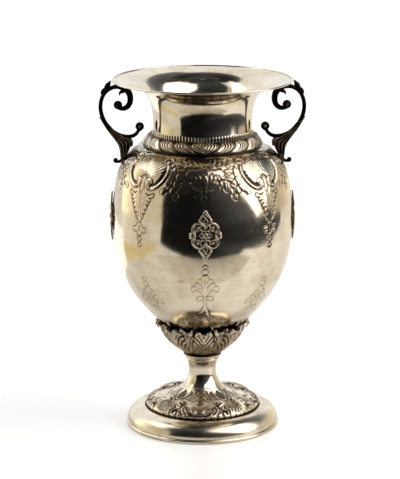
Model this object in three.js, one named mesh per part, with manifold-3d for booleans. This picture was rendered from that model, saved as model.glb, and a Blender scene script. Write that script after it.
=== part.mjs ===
// Footed silver vase with cast scroll handles, an acanthus calyx and pierced belt appliques.
// Millimetres, +Z up. The origin is the centre of the face that the foot rests on.

import * as THREE from 'three';
import { mergeVertices } from 'three/addons/utils/BufferGeometryUtils.js';
import Module from 'manifold-3d';

const wasm = await Module();
wasm.setup();

// Clearances
const SEAM = 0.15; // solder seam between two turned pieces
const SEAT = 0.3; // gap left where a casting is cut to fit its neighbour
const BORE_GAP = 0.25; // play round the stud in every bore

// Gauges
const SHEET = 1.0; // spun silver sheet
const LEAF_SHEET = 1.1; // calyx leaves

// Facet counts
const TURN = 32; // round a large turned piece
const TURN_SMALL = 24; // round the stem and its neighbours
const TURN_BORE = 12; // round the stud and its hardware
const TRIM = 0.08; // slivers thinner than this are merged after a join or cut

// Foot
const FOOT_R = 65.64;
const FOOT_WIRE_W = 3.2;
const FOOT_WIRE_H = 3.3;
const FLANGE_STEP = 1.24; // how far the flange stands in from the edge wire
const FLANGE_H = 12.9;
const GROOVE_DEPTH = 0.9;
const FLANGE_LAND = 4.5; // inner land that carries the mound
const MOUND_R = 48.7;
const MOUND_LIP = 1.6; // upright edge of the mound in the groove
const MOUND_H = 18.7; // from the land to the stem
const MOUND_TURN = -5; // degrees from the handles to an urn panel of the mound
const MOUND_RELIEF = 1.7;
// Relief from the axis of a shell to the middle of the next urn panel, as shares of the whole:
// a flute, the scroll that frames the shell, a groove and the panel
const MOUND_WAVE = [1, 0.35, 1.15, 0.05, 0.55, 0.7, 0.75];

// Stem, collar and calyx
const STEM_FOOT_R = 16.5;
const STEM_TOP_R = 13.2;
const STEM_WAIST = 3.7; // how far the curve draws the stem in
const STEM_H = 22.5;
const SPIGOT_R = 5.8;
const SPIGOT_H = 1.2;
const COLLAR_R = 16.4;
const COLLAR_H = 7.5;
const CALYX_H = 26.6; // from the collar to the leaf tips
const CALYX_R = 39.8;
const LEAF_COUNT = 8;
const LEAF_WIDTH = 20.6;
const SEPAL_WIDTH = 10.4;
const CUP_DEPTH = 4.5; // collar top to the seat of the bowl

// Bowl
const PIP_R = 9.0; // flat seat at the bottom of the bowl
const BELLY_R = 76.2;
const BELLY_H = 112.5; // seat to belt line
const SHOULDER_R = 54.0;
const SHOULDER_H = 61.4; // belt line to the edge of the shoulder land
const LAND_RISE = 3.0; // shoulder land, from its edge to the neck

// Chased cartouches of the shoulder: a fluted shell between two C scrolls
const CARTOUCHES = 4;
const CARTOUCHE_W = 37.0; // across the backs of the C scrolls
const CARTOUCHE_LOW = 0.54; // foot of the scrolls, as a share of the way up the shoulder
const CARTOUCHE_HIGH = 0.89; // crown of the scrolls
const CHASING = 1.1; // how far the chasing stands out of the bowl
const CHASING_SUNK = 0.5; // how deep its foot lies in the sheet
const CHASING_W = 4.0; // width of a scroll
const SHELL_FLUTES = 5;
const SHELL_R = 15.0;

// Neck and mouth
const NECK_R = 41.8;
const NECK_LAP = 2.2; // depth of the neck inside the bowl's opening
const NECK_STRAIGHT = 10.6; // shoulder land to the start of the flare
const FLARE_H = 42.4;
const FLARE_R = 74.0;
const LIP_WIRE_R = 0.9;

// Shoulder wreath
const WREATH_LEAVES = 20;
const WREATH_INSET = 3.0; // foot of the wreath inside the edge of the shoulder land
const WREATH_H = 11.4;
const WREATH_RELIEF = 0.09;

// Handles
const HANDLE_STEM = 3.8; // thickness of the scroll
const HANDLE_OUT = 11.4; // how far a handle stands out past the lip
const HANDLE_DROP = 22.4; // underside of the mouth to the widest point
const HANDLE_FOOT_DROP = 13.4; // edge of the shoulder land to the foot of a handle
const SCROLL_W = 25.0; // widest point back to the upper volute
const SCROLL_RISE = 15.8; // widest point up to the crown of the scroll
const SCROLL_FALL = 25.6; // widest point down to its lowest stretch
const FAN_R = 8.8;
const FAN_FOOT_R = 3.0;
const SCROLL_KNOB_R = 4.0;

// Appliques
const APPLIQUE_LIFT = 2.0; // belt line to the centre of an applique
const APPLIQUE_T = 2.0;
const APPLIQUE_WIRE = 1.3;
const LOBE_R = 5.3;
const LOBE_X = 5.2;
const LOBE_Z = 4.9;
const SPIRE_H = 20.6; // centre of the applique to the tip
const SPIRE_HALF = 4.6;
const BOSS_R = 2.9;
const BOSS_RISE = 1.6;
const SIDE_KNOB_X = 11.5;
const SIDE_KNOB_R = 1.6;

// Stud, washer and nut
const STUD_R = 2.2;
const STUD_HEAD_R = 6.0;
const STUD_HEAD_H = 1.1;
const STUD_TAIL = 2.0; // thread left below the nut
const WASHER_R = 10.0;
const WASHER_T = 1.5;
const NUT_FLATS = 8.0;
const NUT_H = 4.0;

// Heights that follow from the pieces stacked below
const flangeZ = FOOT_WIRE_H;
const landZ = flangeZ + FLANGE_H - GROOVE_DEPTH;
const stemZ = landZ + MOUND_H;
const collarZ = stemZ + STEM_H;
const calyxZ = collarZ + COLLAR_H;
const bowlZ = calyxZ + CUP_DEPTH;
const beltZ = bowlZ + BELLY_H;
const shoulderZ = beltZ + SHOULDER_H;
const neckZ = shoulderZ + LAND_RISE;
const flareZ = neckZ + NECK_STRAIGHT;
const mouthZ = flareZ + FLARE_H;

// The point a share of the way across and up the box from one corner to another
function within([r0, z0], [r1, z1], across, up) {
  return [r0 + (r1 - r0) * across, z0 + (z1 - z0) * up];
}

// Points along a cubic curve from a to d, as [radius, height] pairs.
function curve(a, b, c, d, steps) {
  const ends = [a, b, c, d].map(([r, z]) => new THREE.Vector2(r, z));
  return new THREE.CubicBezierCurve(...ends).getPoints(steps).map((p) => [p.x, p.y]);
}

// An outline moved sideways: to its left, seen along it, when the distance is positive.
function offset(line, distance) {
  const normals = [];
  for (let i = 1; i < line.length; i += 1) {
    const along = new THREE.Vector2(line[i][0] - line[i - 1][0], line[i][1] - line[i - 1][1]).normalize();
    normals.push(new THREE.Vector2(-along.y, along.x));
  }
  return line.map(([r, z], i) => {
    const before = normals[Math.max(i - 1, 0)];
    const after = normals[Math.min(i, normals.length - 1)];
    const miter = before.clone().add(after).normalize();
    const reach = distance / miter.dot(after);
    return [Math.max(r + miter.x * reach, 0), z + miter.y * reach];
  });
}

// A piece turned from a closed outline, or from one that starts and ends on the axis.
function turned(outline, facets) {
  const points = outline.map(([r, z]) => new THREE.Vector2(r, z));
  if (outline[0][0] > 0) points.push(points[0].clone());
  const geometry = new THREE.LatheGeometry(points, facets);
  return geometry.rotateX(Math.PI / 2);
}

// A turned sheet: the outer line goes up, and the inner one comes back at the gauge's distance.
function shell(outer, facets) {
  return turned([...outer, ...offset(outer, SHEET).reverse()], facets);
}

// A closed geometry as a solid for joining and cutting, and back.
function toSolid(geometry) {
  const bare = geometry.clone();
  bare.deleteAttribute('normal');
  bare.deleteAttribute('uv');
  const merged = mergeVertices(bare, 1e-4);
  const vertProperties = new Float32Array(merged.attributes.position.array);
  const triVerts = new Uint32Array(merged.index.array);
  return new wasm.Manifold(new wasm.Mesh({ numProp: 3, vertProperties, triVerts }));
}

function toGeometry(solid) {
  const { vertProperties, triVerts } = solid.getMesh();
  const geometry = new THREE.BufferGeometry();
  geometry.setAttribute('position', new THREE.BufferAttribute(new Float32Array(vertProperties), 3));
  geometry.setIndex([...triVerts]);
  return geometry;
}

// A closed tube of rings. Each ring has the same number of [x, y, z] points.
function loft(rings) {
  const sides = rings[0].length;
  const middle = (ring) => [0, 1, 2].map((k) => ring.reduce((sum, p) => sum + p[k], 0) / sides);
  const positions = [...rings.flat(), middle(rings[0]), middle(rings[rings.length - 1])].flat();
  const startHub = rings.length * sides;
  const index = [];
  for (let j = 0; j < sides; j += 1) {
    const next = (j + 1) % sides;
    for (let i = 0; i < rings.length - 1; i += 1) {
      const a = i * sides;
      const b = a + sides;
      index.push(a + j, a + next, b + next, a + j, b + next, b + j);
    }
    const last = startHub - sides;
    index.push(startHub, next, j, startHub + 1, last + j, last + next);
  }
  const geometry = new THREE.BufferGeometry();
  geometry.setAttribute('position', new THREE.Float32BufferAttribute(positions, 3));
  geometry.setIndex(index);
  return geometry;
}

// A bar of changing section that follows a flat path in the plane of the handles.
// Every other point of its section is drawn in by the flute factor.
function bar(path, steps, halfWidth, halfDepth, sides, flute = 1) {
  const rings = [];
  for (let i = 0; i <= steps; i += 1) {
    const t = i / steps;
    const at = path.getPointAt(t);
    const along = path.getTangentAt(t);
    const ring = [];
    for (let j = 0; j < sides; j += 1) {
      const turn = (2 * Math.PI * j) / sides;
      const draw = j % 2 === 0 ? 1 : flute;
      const across = halfWidth(t) * draw * Math.cos(turn);
      const out = -halfDepth(t) * draw * Math.sin(turn);
      ring.push([at.x - along.y * across, out, at.y + along.x * across]);
    }
    rings.push(ring);
  }
  return loft(rings);
}

// A path of cubic curves, each given by its four [x, z] points.
function flatPath(...spans) {
  const path = new THREE.CurvePath();
  for (const span of spans) {
    path.add(new THREE.CubicBezierCurve(...span.map(([x, z]) => new THREE.Vector2(x, z))));
  }
  return path;
}

// A small flattened knob in the plane of the handles.
function knob(x, z, radius, depth) {
  const geometry = new THREE.SphereGeometry(1, 8, 4);
  return geometry.rotateX(Math.PI / 2).scale(radius, depth, radius).translate(x, 0, z);
}

// Outer lines of the bowl and neck, which the castings are cut to
const pip = [PIP_R, bowlZ];
const belt = [BELLY_R, beltZ];
const landEdge = [SHOULDER_R, shoulderZ];
const shoulderLine = [belt, within(belt, landEdge, 0, 0.5), within(belt, landEdge, 0.25, 0.88), landEdge]
  .map(([r, z]) => new THREE.Vector2(r, z));
const bowlLine = [
  ...curve(pip, within(pip, belt, 0.627, 0.3), within(pip, belt, 1, 0.5), belt, 6),
  ...new THREE.CubicBezierCurve(...shoulderLine).getPoints(5).slice(1).map((p) => [p.x, p.y]),
  [NECK_R + SEAM + 1.5, neckZ],
  [NECK_R + SEAM, neckZ],
];
const flareFoot = [NECK_R, flareZ];
const flareEdge = [FLARE_R, mouthZ];
const neckLine = [
  [NECK_R, neckZ - NECK_LAP],
  ...curve(
    flareFoot, within(flareFoot, flareEdge, -0.017, 0.46), within(flareFoot, flareEdge, -0.028, 0.94),
    flareEdge, 7,
  ),
];
const lipR = FLARE_R + SEAM + LIP_WIRE_R;
const lipZ = mouthZ + SHEET - 0.3;

// Everything inside the bowl and mouth, with the seat gap round it
function keepOut() {
  const bowl = offset([[0, bowlZ], ...bowlLine], -SEAT);
  const neck = offset(neckLine, -SEAT);
  const reach = LIP_WIRE_R + SEAT;
  const lip = [[lipR, lipZ - reach], [lipR + reach, lipZ], [lipR + reach, lipZ + reach], [0, lipZ + reach]];
  const lower = toSolid(turned([...bowl, [0, neckZ]], TURN));
  const upper = toSolid(turned([[0, neckZ - NECK_LAP], ...neck, ...lip], TURN));
  return lower.add(upper);
}

function footWire() {
  const inner = FOOT_R - FOOT_WIRE_W;
  return turned([
    [inner, 0],
    [FOOT_R - 0.64, 0],
    [FOOT_R, 0.8],
    [FOOT_R, FOOT_WIRE_H - 0.8],
    [FOOT_R - 0.54, FOOT_WIRE_H],
    [inner, FOOT_WIRE_H],
  ], TURN);
}

function footFlange() {
  const edge = [FOOT_R - FLANGE_STEP, flangeZ + SHEET];
  const crown = [MOUND_R + 1.5, flangeZ + FLANGE_H];
  return shell([
    [edge[0], flangeZ],
    ...curve(edge, within(edge, crown, 0, 0.57), within(edge, crown, 0.49, 1), crown, 4),
    [MOUND_R + 0.4, landZ],
    [MOUND_R + 0.4 - FLANGE_LAND, landZ],
  ], TURN);
}

// The mound is a turned sheet with chased relief on its outer face. Four fluted shells alternate
// with four urn panels, and a row of beads runs round its lower edge.
function footMound() {
  const edge = [MOUND_R, landZ + MOUND_LIP];
  const crown = [STEM_FOOT_R, stemZ];
  const line = [
    [MOUND_R, landZ],
    ...curve(edge, within(edge, crown, 0.2, 0.63), within(edge, crown, 0.5, 0.41), crown, 6),
  ];
  const last = line.length - 1;
  const waves = MOUND_WAVE.length - 1;
  const columns = 8 * waves;
  const bore = SPIGOT_R + BORE_GAP;
  const rings = [];
  for (let i = 0; i < columns; i += 1) {
    const turn = (2 * Math.PI * i) / columns;
    const wave = waves - Math.abs(((i + waves) % (2 * waves)) - waves);
    const relief = (step) => {
      const fade = Math.sin((Math.PI * (step - 1)) / (last - 1)) ** 0.6;
      const bead = wave % 2 === 0 ? 0.9 : 0.1;
      return MOUND_RELIEF * fade * (step === 2 ? bead : MOUND_WAVE[wave]);
    };
    const ring = line.map(([r, z], step) => {
      if (step < 2 || step === last) return [r, z];
      const across = line[step + 1][0] - line[step - 1][0];
      const up = line[step + 1][1] - line[step - 1][1];
      const reach = relief(step) / Math.hypot(across, up);
      return [r + up * reach, z - across * reach];
    });
    rings.push([...ring, [bore, stemZ], [bore, landZ]].map(([r, z]) => {
      return [r * Math.cos(turn), r * Math.sin(turn), z];
    }));
  }
  const inside = offset([...line, [0, stemZ]], SHEET);
  inside[0] = [inside[0][0], landZ - 1];
  const hollow = turned([[0, landZ - 1], ...inside], TURN_SMALL);
  return toGeometry(toSolid(closedLoft(rings)).subtract(toSolid(hollow)).asOriginal().simplify(TRIM));
}

function stem() {
  const bore = STUD_R + BORE_GAP;
  return turned([
    [bore, stemZ - SPIGOT_H],
    [SPIGOT_R, stemZ - SPIGOT_H],
    [SPIGOT_R, stemZ],
    ...curve(
      [STEM_FOOT_R, stemZ], [STEM_FOOT_R - STEM_WAIST, stemZ + STEM_H * 0.21],
      [STEM_TOP_R - STEM_WAIST, collarZ - STEM_H * 0.55], [STEM_TOP_R, collarZ], 6,
    ),
    [bore, collarZ],
  ], TURN_SMALL);
}

// A small lower bead, a groove and a full upper bead
function stemCollar() {
  const bore = STUD_R + BORE_GAP;
  const groove = COLLAR_H * 0.25;
  return turned([
    [bore, collarZ],
    [COLLAR_R - 2.8, collarZ],
    [COLLAR_R - 2.0, collarZ + groove * 0.4],
    [COLLAR_R - 2.6, collarZ + groove],
    [COLLAR_R - 0.8, collarZ + groove * 1.5],
    [COLLAR_R, collarZ + COLLAR_H * 0.7],
    [COLLAR_R - 0.6, calyxZ],
    [bore, calyxZ],
  ], TURN_SMALL);
}

// Outer line of the large leaves, from the collar to the tips, as a cubic's four points
const leafFoot = [COLLAR_R, calyxZ + 0.4];
const leafTip = [CALYX_R, calyxZ + CALYX_H];
const leafLine = [
  leafFoot, within(leafFoot, leafTip, 0.8, 0.48), within(leafFoot, leafTip, 0.62, 0.55), leafTip,
];
const layer = LEAF_SHEET + SEAT; // from one layer of leaves to the next

// The dish inside the leaves. Its hollow fits the bowl, and a recess takes the head of the stud.
function calyxCup() {
  const bore = STUD_R + BORE_GAP;
  const outer = offset(curve(...leafLine, 7), 2 * layer).slice(0, 5);
  const rim = outer[outer.length - 1];
  const inner = offset(bowlLine, -SEAT).filter(([r, z]) => z > bowlZ + 0.5 && z < rim[1] - 1.5);
  const recess = STUD_HEAD_R + BORE_GAP;
  return turned([
    [bore, calyxZ],
    [outer[0][0] - 1.2, calyxZ],
    ...outer,
    ...inner.reverse(),
    [PIP_R + 0.6, bowlZ],
    [recess, bowlZ],
    [recess, bowlZ - STUD_HEAD_H - 0.1],
    [bore, bowlZ - STUD_HEAD_H - 0.1],
  ], TURN_SMALL);
}

// A leaf wrapped round the axis. The width function gives half its width along its length, and the
// middle rib stands proud. Depth is how far the leaf lies inside the leaf line.
function leaf(width, depth, rows, columns) {
  const outer = offset(curve(...leafLine, rows), depth);
  const inner = offset(curve(...leafLine, rows), depth + LEAF_SHEET);
  const rings = outer.map(([r, z], i) => {
    const [innerR, innerZ] = inner[i];
    const point = (radius, height, k) => {
      const turn = (width(i / rows) * (k / columns) * 2 - width(i / rows)) / radius;
      return [radius * Math.cos(turn), radius * Math.sin(turn), height];
    };
    const front = Array.from({ length: columns + 1 }, (_, k) => point(r, z, k));
    const back = Array.from({ length: columns + 1 }, (_, k) => point(innerR, innerZ, columns - k));
    return [...front, ...back];
  });
  return loft(rings);
}

// Half width of an acanthus leaf: narrow at its foot, three lobes a side, drawn in at the tip
function leafWidth(t) {
  const body = 0.5 + 0.5 * Math.sin(Math.min(t / 0.78, 1) * Math.PI * 0.5);
  const tip = t > 0.78 ? 1 - 0.27 * ((t - 0.78) / 0.22) ** 2 : 1;
  const lobes = 1 - 0.07 * Math.cos(t * 6 * Math.PI);
  return (LEAF_WIDTH / 2) * body * tip * lobes;
}

function sepalWidth(t) {
  return (SEPAL_WIDTH / 2) * (0.42 + 0.58 * Math.sin(t * Math.PI * 0.72));
}

// Length of the shoulder's line, from the belt to the edge of the land
function shoulderSpan() {
  return new THREE.CubicBezierCurve(...shoulderLine).getLength();
}

// A point on the faceted outer face of the bowl, or out from it, at a turn about the axis
function onBowl(turn, z, out) {
  const { radius, tilt } = bowlAt(z);
  const facet = (2 * Math.PI) / TURN;
  const fromMiddle = turn - facet * (Math.floor(turn / facet) + 0.5);
  const flat = (radius * Math.cos(facet / 2)) / Math.cos(fromMiddle);
  const reach = flat + out * Math.cos(tilt);
  return [reach * Math.cos(turn), reach * Math.sin(turn), z + out * Math.sin(tilt)];
}

// A point of a cartouche: across it in millimetres, and up the shoulder as a share of its line
function onShoulder(across, share, out) {
  const { y } = new THREE.CubicBezierCurve(...shoulderLine).getPointAt(share);
  return onBowl(Math.PI / CARTOUCHES + across / bowlAt(y).radius, y, out);
}

// One C scroll of a cartouche, on the side that the sign gives. It has a ridge, and it curls at the top.
function cartoucheScroll(side) {
  const back = CARTOUCHE_W / 2;
  const at = (across, up) => [back * across, CARTOUCHE_LOW + (CARTOUCHE_HIGH - CARTOUCHE_LOW) * up];
  const spine = flatPath(
    [at(0.33, 0), at(1, -0.03), at(1.15, 0.45), at(0.9, 0.8)],
    [at(0.9, 0.8), at(0.8, 1.05), at(1.25, 1.12), at(1.3, 0.86)],
  );
  const steps = 6;
  const half = CHASING_W / 2;
  const span = shoulderSpan();
  const rings = [];
  for (let i = 0; i <= steps; i += 1) {
    const { x, y } = spine.getPoint(i / steps);
    const along = spine.getTangent(i / steps);
    const slope = new THREE.Vector2(along.x, along.y * span).normalize();
    const thin = half * (1 - 0.45 * (i / steps));
    const point = (aside, out) => onShoulder(side * (x - slope.y * aside), y + (slope.x * aside) / span, out);
    const ring = [point(thin, -CHASING_SUNK), point(0, CHASING), point(-thin, -CHASING_SUNK)];
    rings.push(side > 0 ? ring : ring.reverse());
  }
  return loft(rings);
}

// The fluted shell of a cartouche: ridges fan out from its hub and end in a scalloped edge.
function cartoucheShell() {
  const span = shoulderSpan();
  const hub = CARTOUCHE_LOW + 0.13;
  const ring = (reach, ridge, groove) => {
    const points = Array.from({ length: 2 * SHELL_FLUTES + 1 }, (_, k) => {
      const turn = Math.PI * (0.92 - 0.84 * (k / (2 * SHELL_FLUTES)));
      const far = reach * (k % 2 === 1 ? 1.06 : 0.94);
      return onShoulder(far * Math.cos(turn), hub + (far * Math.sin(turn)) / span, k % 2 === 1 ? ridge : groove);
    });
    return [...points, onShoulder(0, hub - 1 / span, ridge)].reverse();
  };
  return loft([
    ring(SHELL_R, -CHASING_SUNK, -CHASING_SUNK),
    ring(SHELL_R * 0.8, CHASING, CHASING * 0.3),
  ]);
}

// The spun bowl with its chased cartouches
function bowl() {
  let whole = toSolid(shell([[0, bowlZ], ...bowlLine], TURN));
  for (let i = 0; i < CARTOUCHES; i += 1) {
    const turn = (2 * Math.PI * i) / CARTOUCHES;
    for (const piece of [cartoucheShell(), cartoucheScroll(1), cartoucheScroll(-1)]) {
      whole = whole.add(toSolid(piece.rotateZ(turn)));
    }
  }
  return toGeometry(whole.asOriginal().simplify(TRIM));
}

function neckMouth() {
  return shell(neckLine, TURN);
}

function lipWire() {
  const sides = 6;
  const section = Array.from({ length: sides }, (_, k) => {
    const turn = (2 * Math.PI * k) / sides;
    return [lipR + LIP_WIRE_R * Math.cos(turn), lipZ + LIP_WIRE_R * Math.sin(turn)];
  });
  return turned(section, TURN);
}

// A ring of overlapping leaves that rises from the shoulder land to the neck.
// Its section is a superellipse quarter, and each leaf swells and then drops to the next one.
function wreath() {
  const inner = NECK_R + SEAM * 4;
  const width = SHOULDER_R - WREATH_INSET - inner;
  const land = SHOULDER_R - (NECK_R + SEAM + 1.5); // width of the shoulder land
  const onLand = (r) => shoulderZ + SEAT + (LAND_RISE * (SHOULDER_R - r)) / land;
  const foot = onLand(inner + width);
  const arcSteps = 3;
  const perLeaf = [-1, 0.4, 1];
  const rings = [];
  for (let i = 0; i < WREATH_LEAVES * perLeaf.length; i += 1) {
    const turn = (2 * Math.PI * i) / (WREATH_LEAVES * perLeaf.length);
    const swell = 1 + WREATH_RELIEF * perLeaf[i % perLeaf.length];
    const section = [[inner, neckZ + SEAT * 2]];
    for (let k = 0; k <= arcSteps; k += 1) {
      const a = (Math.PI / 2) * (k / arcSteps);
      const out = Math.cos(a) ** (4 / 3);
      const up = Math.sin(a) ** (4 / 3);
      const r = inner + out * width * swell;
      section.push([r, k === 0 ? onLand(r) + 0.1 : foot + 0.1 + up * WREATH_H * swell]);
    }
    rings.push(section.map(([r, z]) => [r * Math.cos(turn), r * Math.sin(turn), z]));
  }
  return closedLoft(rings);
}

// Rings joined end to end round the axis
function closedLoft(rings) {
  const sides = rings[0].length;
  const index = [];
  rings.forEach((ring, i) => {
    const a = i * sides;
    const b = ((i + 1) % rings.length) * sides;
    for (let j = 0; j < sides; j += 1) {
      const next = (j + 1) % sides;
      index.push(a + j, b + next, a + next, a + j, b + j, b + next);
    }
  });
  const geometry = new THREE.BufferGeometry();
  geometry.setAttribute('position', new THREE.Float32BufferAttribute(rings.flat(2), 3));
  geometry.setIndex(index);
  return geometry;
}

// Half width of the fan: a rounded top, then a long taper to its foot
function fanHalf(t) {
  const round = Math.sqrt(Math.min(1, 0.25 + 5 * t));
  return round * (FAN_R - (FAN_R - FAN_FOOT_R) * Math.sin(t * Math.PI * 0.5));
}

// A cast handle on the +X side: a C scroll with a volute at each end, an acanthus fan that stands
// on the shoulder, a small curl at its foot and a leaf that reaches up to the lip.
function handle(cutter) {
  const stem = HANDLE_STEM / 2;
  const outX = lipR + LIP_WIRE_R + HANDLE_OUT - stem;
  const wideZ = mouthZ - HANDLE_DROP;
  // A point of the scroll: shares of its width inwards and of its rise or fall
  const at = (inward, up) => [outX - SCROLL_W * inward, wideZ + (up > 0 ? SCROLL_RISE : SCROLL_FALL) * up];
  const upperEye = at(0.584, 0.146);
  const lowerEye = at(1.308, -0.664);
  const scroll = flatPath(
    [upperEye, at(0.84, -0.1), at(1.024, 0.095), at(1, 0.443)],
    [at(1, 0.443), at(0.992, 1.33), at(0.016, 1.34), at(0, 0)],
    [at(0, 0), at(-0.008, -0.488), at(0.396, -1), at(0.936, -1)],
    [at(0.936, -1), at(1.156, -1), at(1.392, -0.93), lowerEye],
  );
  const crest = flatPath([at(0.208, 0.861), at(0.24, 1.076), at(0.3, 1.203), at(0.384, 1.367)]);
  const footZ = shoulderZ - HANDLE_FOOT_DROP;
  const footX = bowlAt(footZ).radius - 1.2;
  const fan = flatPath([at(0.704, -0.922), at(0.76, -1.289), [footX - 1.1, footZ + 9], [footX, footZ]]);
  const curlEye = [footX + 6.8, footZ + 2];
  const curl = flatPath([
    [footX - 0.2, footZ + 6], [footX + 2.9, footZ + 3], [footX + 4.9, footZ + 6], curlEye,
  ]);
  const pieces = [
    bar(scroll, 24, () => stem, () => stem * 1.15, 6),
    knob(upperEye[0], upperEye[1], SCROLL_KNOB_R, SCROLL_KNOB_R * 0.8),
    knob(lowerEye[0], lowerEye[1], SCROLL_KNOB_R, SCROLL_KNOB_R * 0.8),
    bar(fan, 6, fanHalf, (t) => 0.82 * fanHalf(t) + 0.8, 12, 0.86),
    bar(curl, 3, (t) => 2.4 - 0.8 * t, (t) => 3.4 - 1.2 * t, 6),
    knob(curlEye[0], curlEye[1], 2.4, 2.6),
    bar(crest, 2, (t) => 2.2 - 0.9 * t, (t) => 2.6 - t, 6),
  ];
  const joined = pieces.map(toSolid).reduce((whole, piece) => whole.add(piece));
  return toGeometry(joined.subtract(cutter).asOriginal().simplify(TRIM));
}

// Radius and outward tilt of the bowl at a height
function bowlAt(z) {
  const i = bowlLine.findIndex((p) => p[1] >= z);
  const [r0, z0] = bowlLine[i - 1];
  const [r1, z1] = bowlLine[i];
  const radius = r0 + ((r1 - r0) * (z - z0)) / (z1 - z0);
  return { radius, tilt: Math.atan2(r0 - r1, z1 - z0) };
}

// Bends a flat piece onto the bowl on the +X side: x goes round the bowl, y up it and z out of it.
function bendOntoBowl(geometry) {
  const at = geometry.attributes.position;
  for (let i = 0; i < at.count; i += 1) {
    const { radius, tilt } = bowlAt(beltZ + APPLIQUE_LIFT + at.getY(i));
    const turn = at.getX(i) / BELLY_R;
    const out = SEAT + at.getZ(i);
    const reach = radius + out * Math.cos(tilt);
    const height = beltZ + APPLIQUE_LIFT + at.getY(i) + out * Math.sin(tilt);
    at.setXYZ(i, reach * Math.cos(turn), reach * Math.sin(turn), height);
  }
  return geometry;
}

// Flat plate of an applique
function plate(shape) {
  return new THREE.ExtrudeGeometry(shape, { depth: APPLIQUE_T, bevelEnabled: false, curveSegments: 4 });
}

// A wire ring, pierced right through
function lobe() {
  const shape = new THREE.Shape().absarc(0, 0, LOBE_R, 0, Math.PI * 2);
  shape.holes.push(new THREE.Path().absarc(0, 0, LOBE_R - APPLIQUE_WIRE, 0, Math.PI * 2, true));
  return plate(shape);
}

// A pierced pointed arch. Its foot is buried in the lobes.
function spire() {
  const foot = SPIRE_H * 0.34;
  const arch = (half, low, high) => [
    [-half, low], [half, low], [half * 0.86, low + (high - low) * 0.3],
    [half * 0.36, low + (high - low) * 0.64], [0, high],
    [-half * 0.36, low + (high - low) * 0.64], [-half * 0.86, low + (high - low) * 0.3],
  ].map(([x, y]) => new THREE.Vector2(x, y));
  const shape = new THREE.Shape(arch(SPIRE_HALF, foot, SPIRE_H));
  const inside = arch(SPIRE_HALF - APPLIQUE_WIRE, foot + APPLIQUE_WIRE, SPIRE_H - APPLIQUE_WIRE * 3);
  shape.holes.push(new THREE.Path(inside.reverse()));
  return plate(shape);
}

// A diamond point at the side, on a bar from the boss
function sidePoint() {
  const tip = SIDE_KNOB_X + SIDE_KNOB_R;
  const inner = SIDE_KNOB_X - SIDE_KNOB_R * 1.4;
  const half = APPLIQUE_WIRE / 2;
  const outline = [
    [0, -half], [inner, -half], [SIDE_KNOB_X, -SIDE_KNOB_R], [tip, 0],
    [SIDE_KNOB_X, SIDE_KNOB_R], [inner, half], [0, half],
  ];
  return plate(new THREE.Shape(outline.map(([x, y]) => new THREE.Vector2(x, y))));
}

// A pierced quatrefoil with a boss, a spire above and below, and a point at each side
function applique() {
  const pieces = [spire(), spire().rotateZ(Math.PI), sidePoint(), sidePoint().rotateZ(Math.PI)];
  for (const x of [-LOBE_X, LOBE_X]) {
    for (const y of [-LOBE_Z, LOBE_Z]) {
      pieces.push(lobe().translate(x, y, 0));
    }
  }
  const height = APPLIQUE_T + BOSS_RISE;
  const boss = new THREE.CylinderGeometry(BOSS_R * 0.6, BOSS_R, height, 6);
  pieces.push(boss.rotateX(Math.PI / 2).translate(0, 0, height / 2));
  const joined = pieces.map(toSolid).reduce((whole, piece) => whole.add(piece));
  return bendOntoBowl(toGeometry(joined.asOriginal().simplify(0.001)));
}

function tieStud(footZ) {
  return turned([
    [0, footZ],
    [STUD_R, footZ],
    [STUD_R, bowlZ - STUD_HEAD_H],
    [STUD_HEAD_R, bowlZ - STUD_HEAD_H],
    [STUD_HEAD_R, bowlZ],
    [0, bowlZ],
  ], TURN_BORE);
}

function studWasher(top) {
  const bore = STUD_R + BORE_GAP;
  return turned([[bore, top - WASHER_T], [WASHER_R, top - WASHER_T], [WASHER_R, top], [bore, top]], TURN_BORE);
}

function studNut(top) {
  const corner = NUT_FLATS / Math.sqrt(3);
  const corners = Array.from({ length: 6 }, (_, k) => {
    return new THREE.Vector2(corner * Math.cos((k * Math.PI) / 3), corner * Math.sin((k * Math.PI) / 3));
  });
  const shape = new THREE.Shape(corners);
  shape.holes.push(new THREE.Path().absarc(0, 0, STUD_R + SEAM, 0, Math.PI * 2, true));
  const geometry = new THREE.ExtrudeGeometry(shape, { depth: NUT_H, bevelEnabled: false, curveSegments: 6 });
  return geometry.translate(0, 0, top - NUT_H);
}

// Finishes
const polished = { color: 0xcbc4b6, roughness: 0.16, metalness: 1 };
const mounts = { color: 0xb8ad98, roughness: 0.3, metalness: 1 };
const oxidised = { color: 0x4b4035, roughness: 0.38, metalness: 1 };
const hardware = { color: 0xa98f5a, roughness: 0.45, metalness: 1 };

const vase = new THREE.Group();

function add(name, geometry, finish, turn = 0) {
  const mesh = new THREE.Mesh(geometry, new THREE.MeshStandardMaterial(finish));
  mesh.name = name;
  mesh.rotation.z = turn;
  vase.add(mesh);
}

add('foot_rim_wire', footWire(), polished);
add('foot_flange', footFlange(), polished);
add('foot_mound', footMound(), polished, (MOUND_TURN * Math.PI) / 180);
add('stem', stem(), polished);
add('stem_collar', stemCollar(), mounts);
add('calyx_cup', calyxCup(), mounts);

for (let i = 0; i < LEAF_COUNT; i += 1) {
  const pitch = (2 * Math.PI) / LEAF_COUNT;
  add(`calyx_leaf_${i + 1}`, leaf(leafWidth, 0, 5, 4), mounts, i * pitch);
  add(`calyx_sepal_${i + 1}`, leaf(sepalWidth, layer, 5, 2), mounts, (i + 0.5) * pitch);
}

add('body_bowl', bowl(), polished);
add('shoulder_wreath', wreath(), mounts);
add('neck_mouth', neckMouth(), polished);
add('lip_wire', lipWire(), polished);

const seat = keepOut();
add('handle_right', handle(seat), oxidised);
add('handle_left', handle(seat), oxidised, Math.PI);

add('applique_right', applique(), mounts);
add('applique_back', applique(), mounts, Math.PI / 2);
add('applique_left', applique(), mounts, Math.PI);
add('applique_front', applique(), mounts, -Math.PI / 2);

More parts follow.
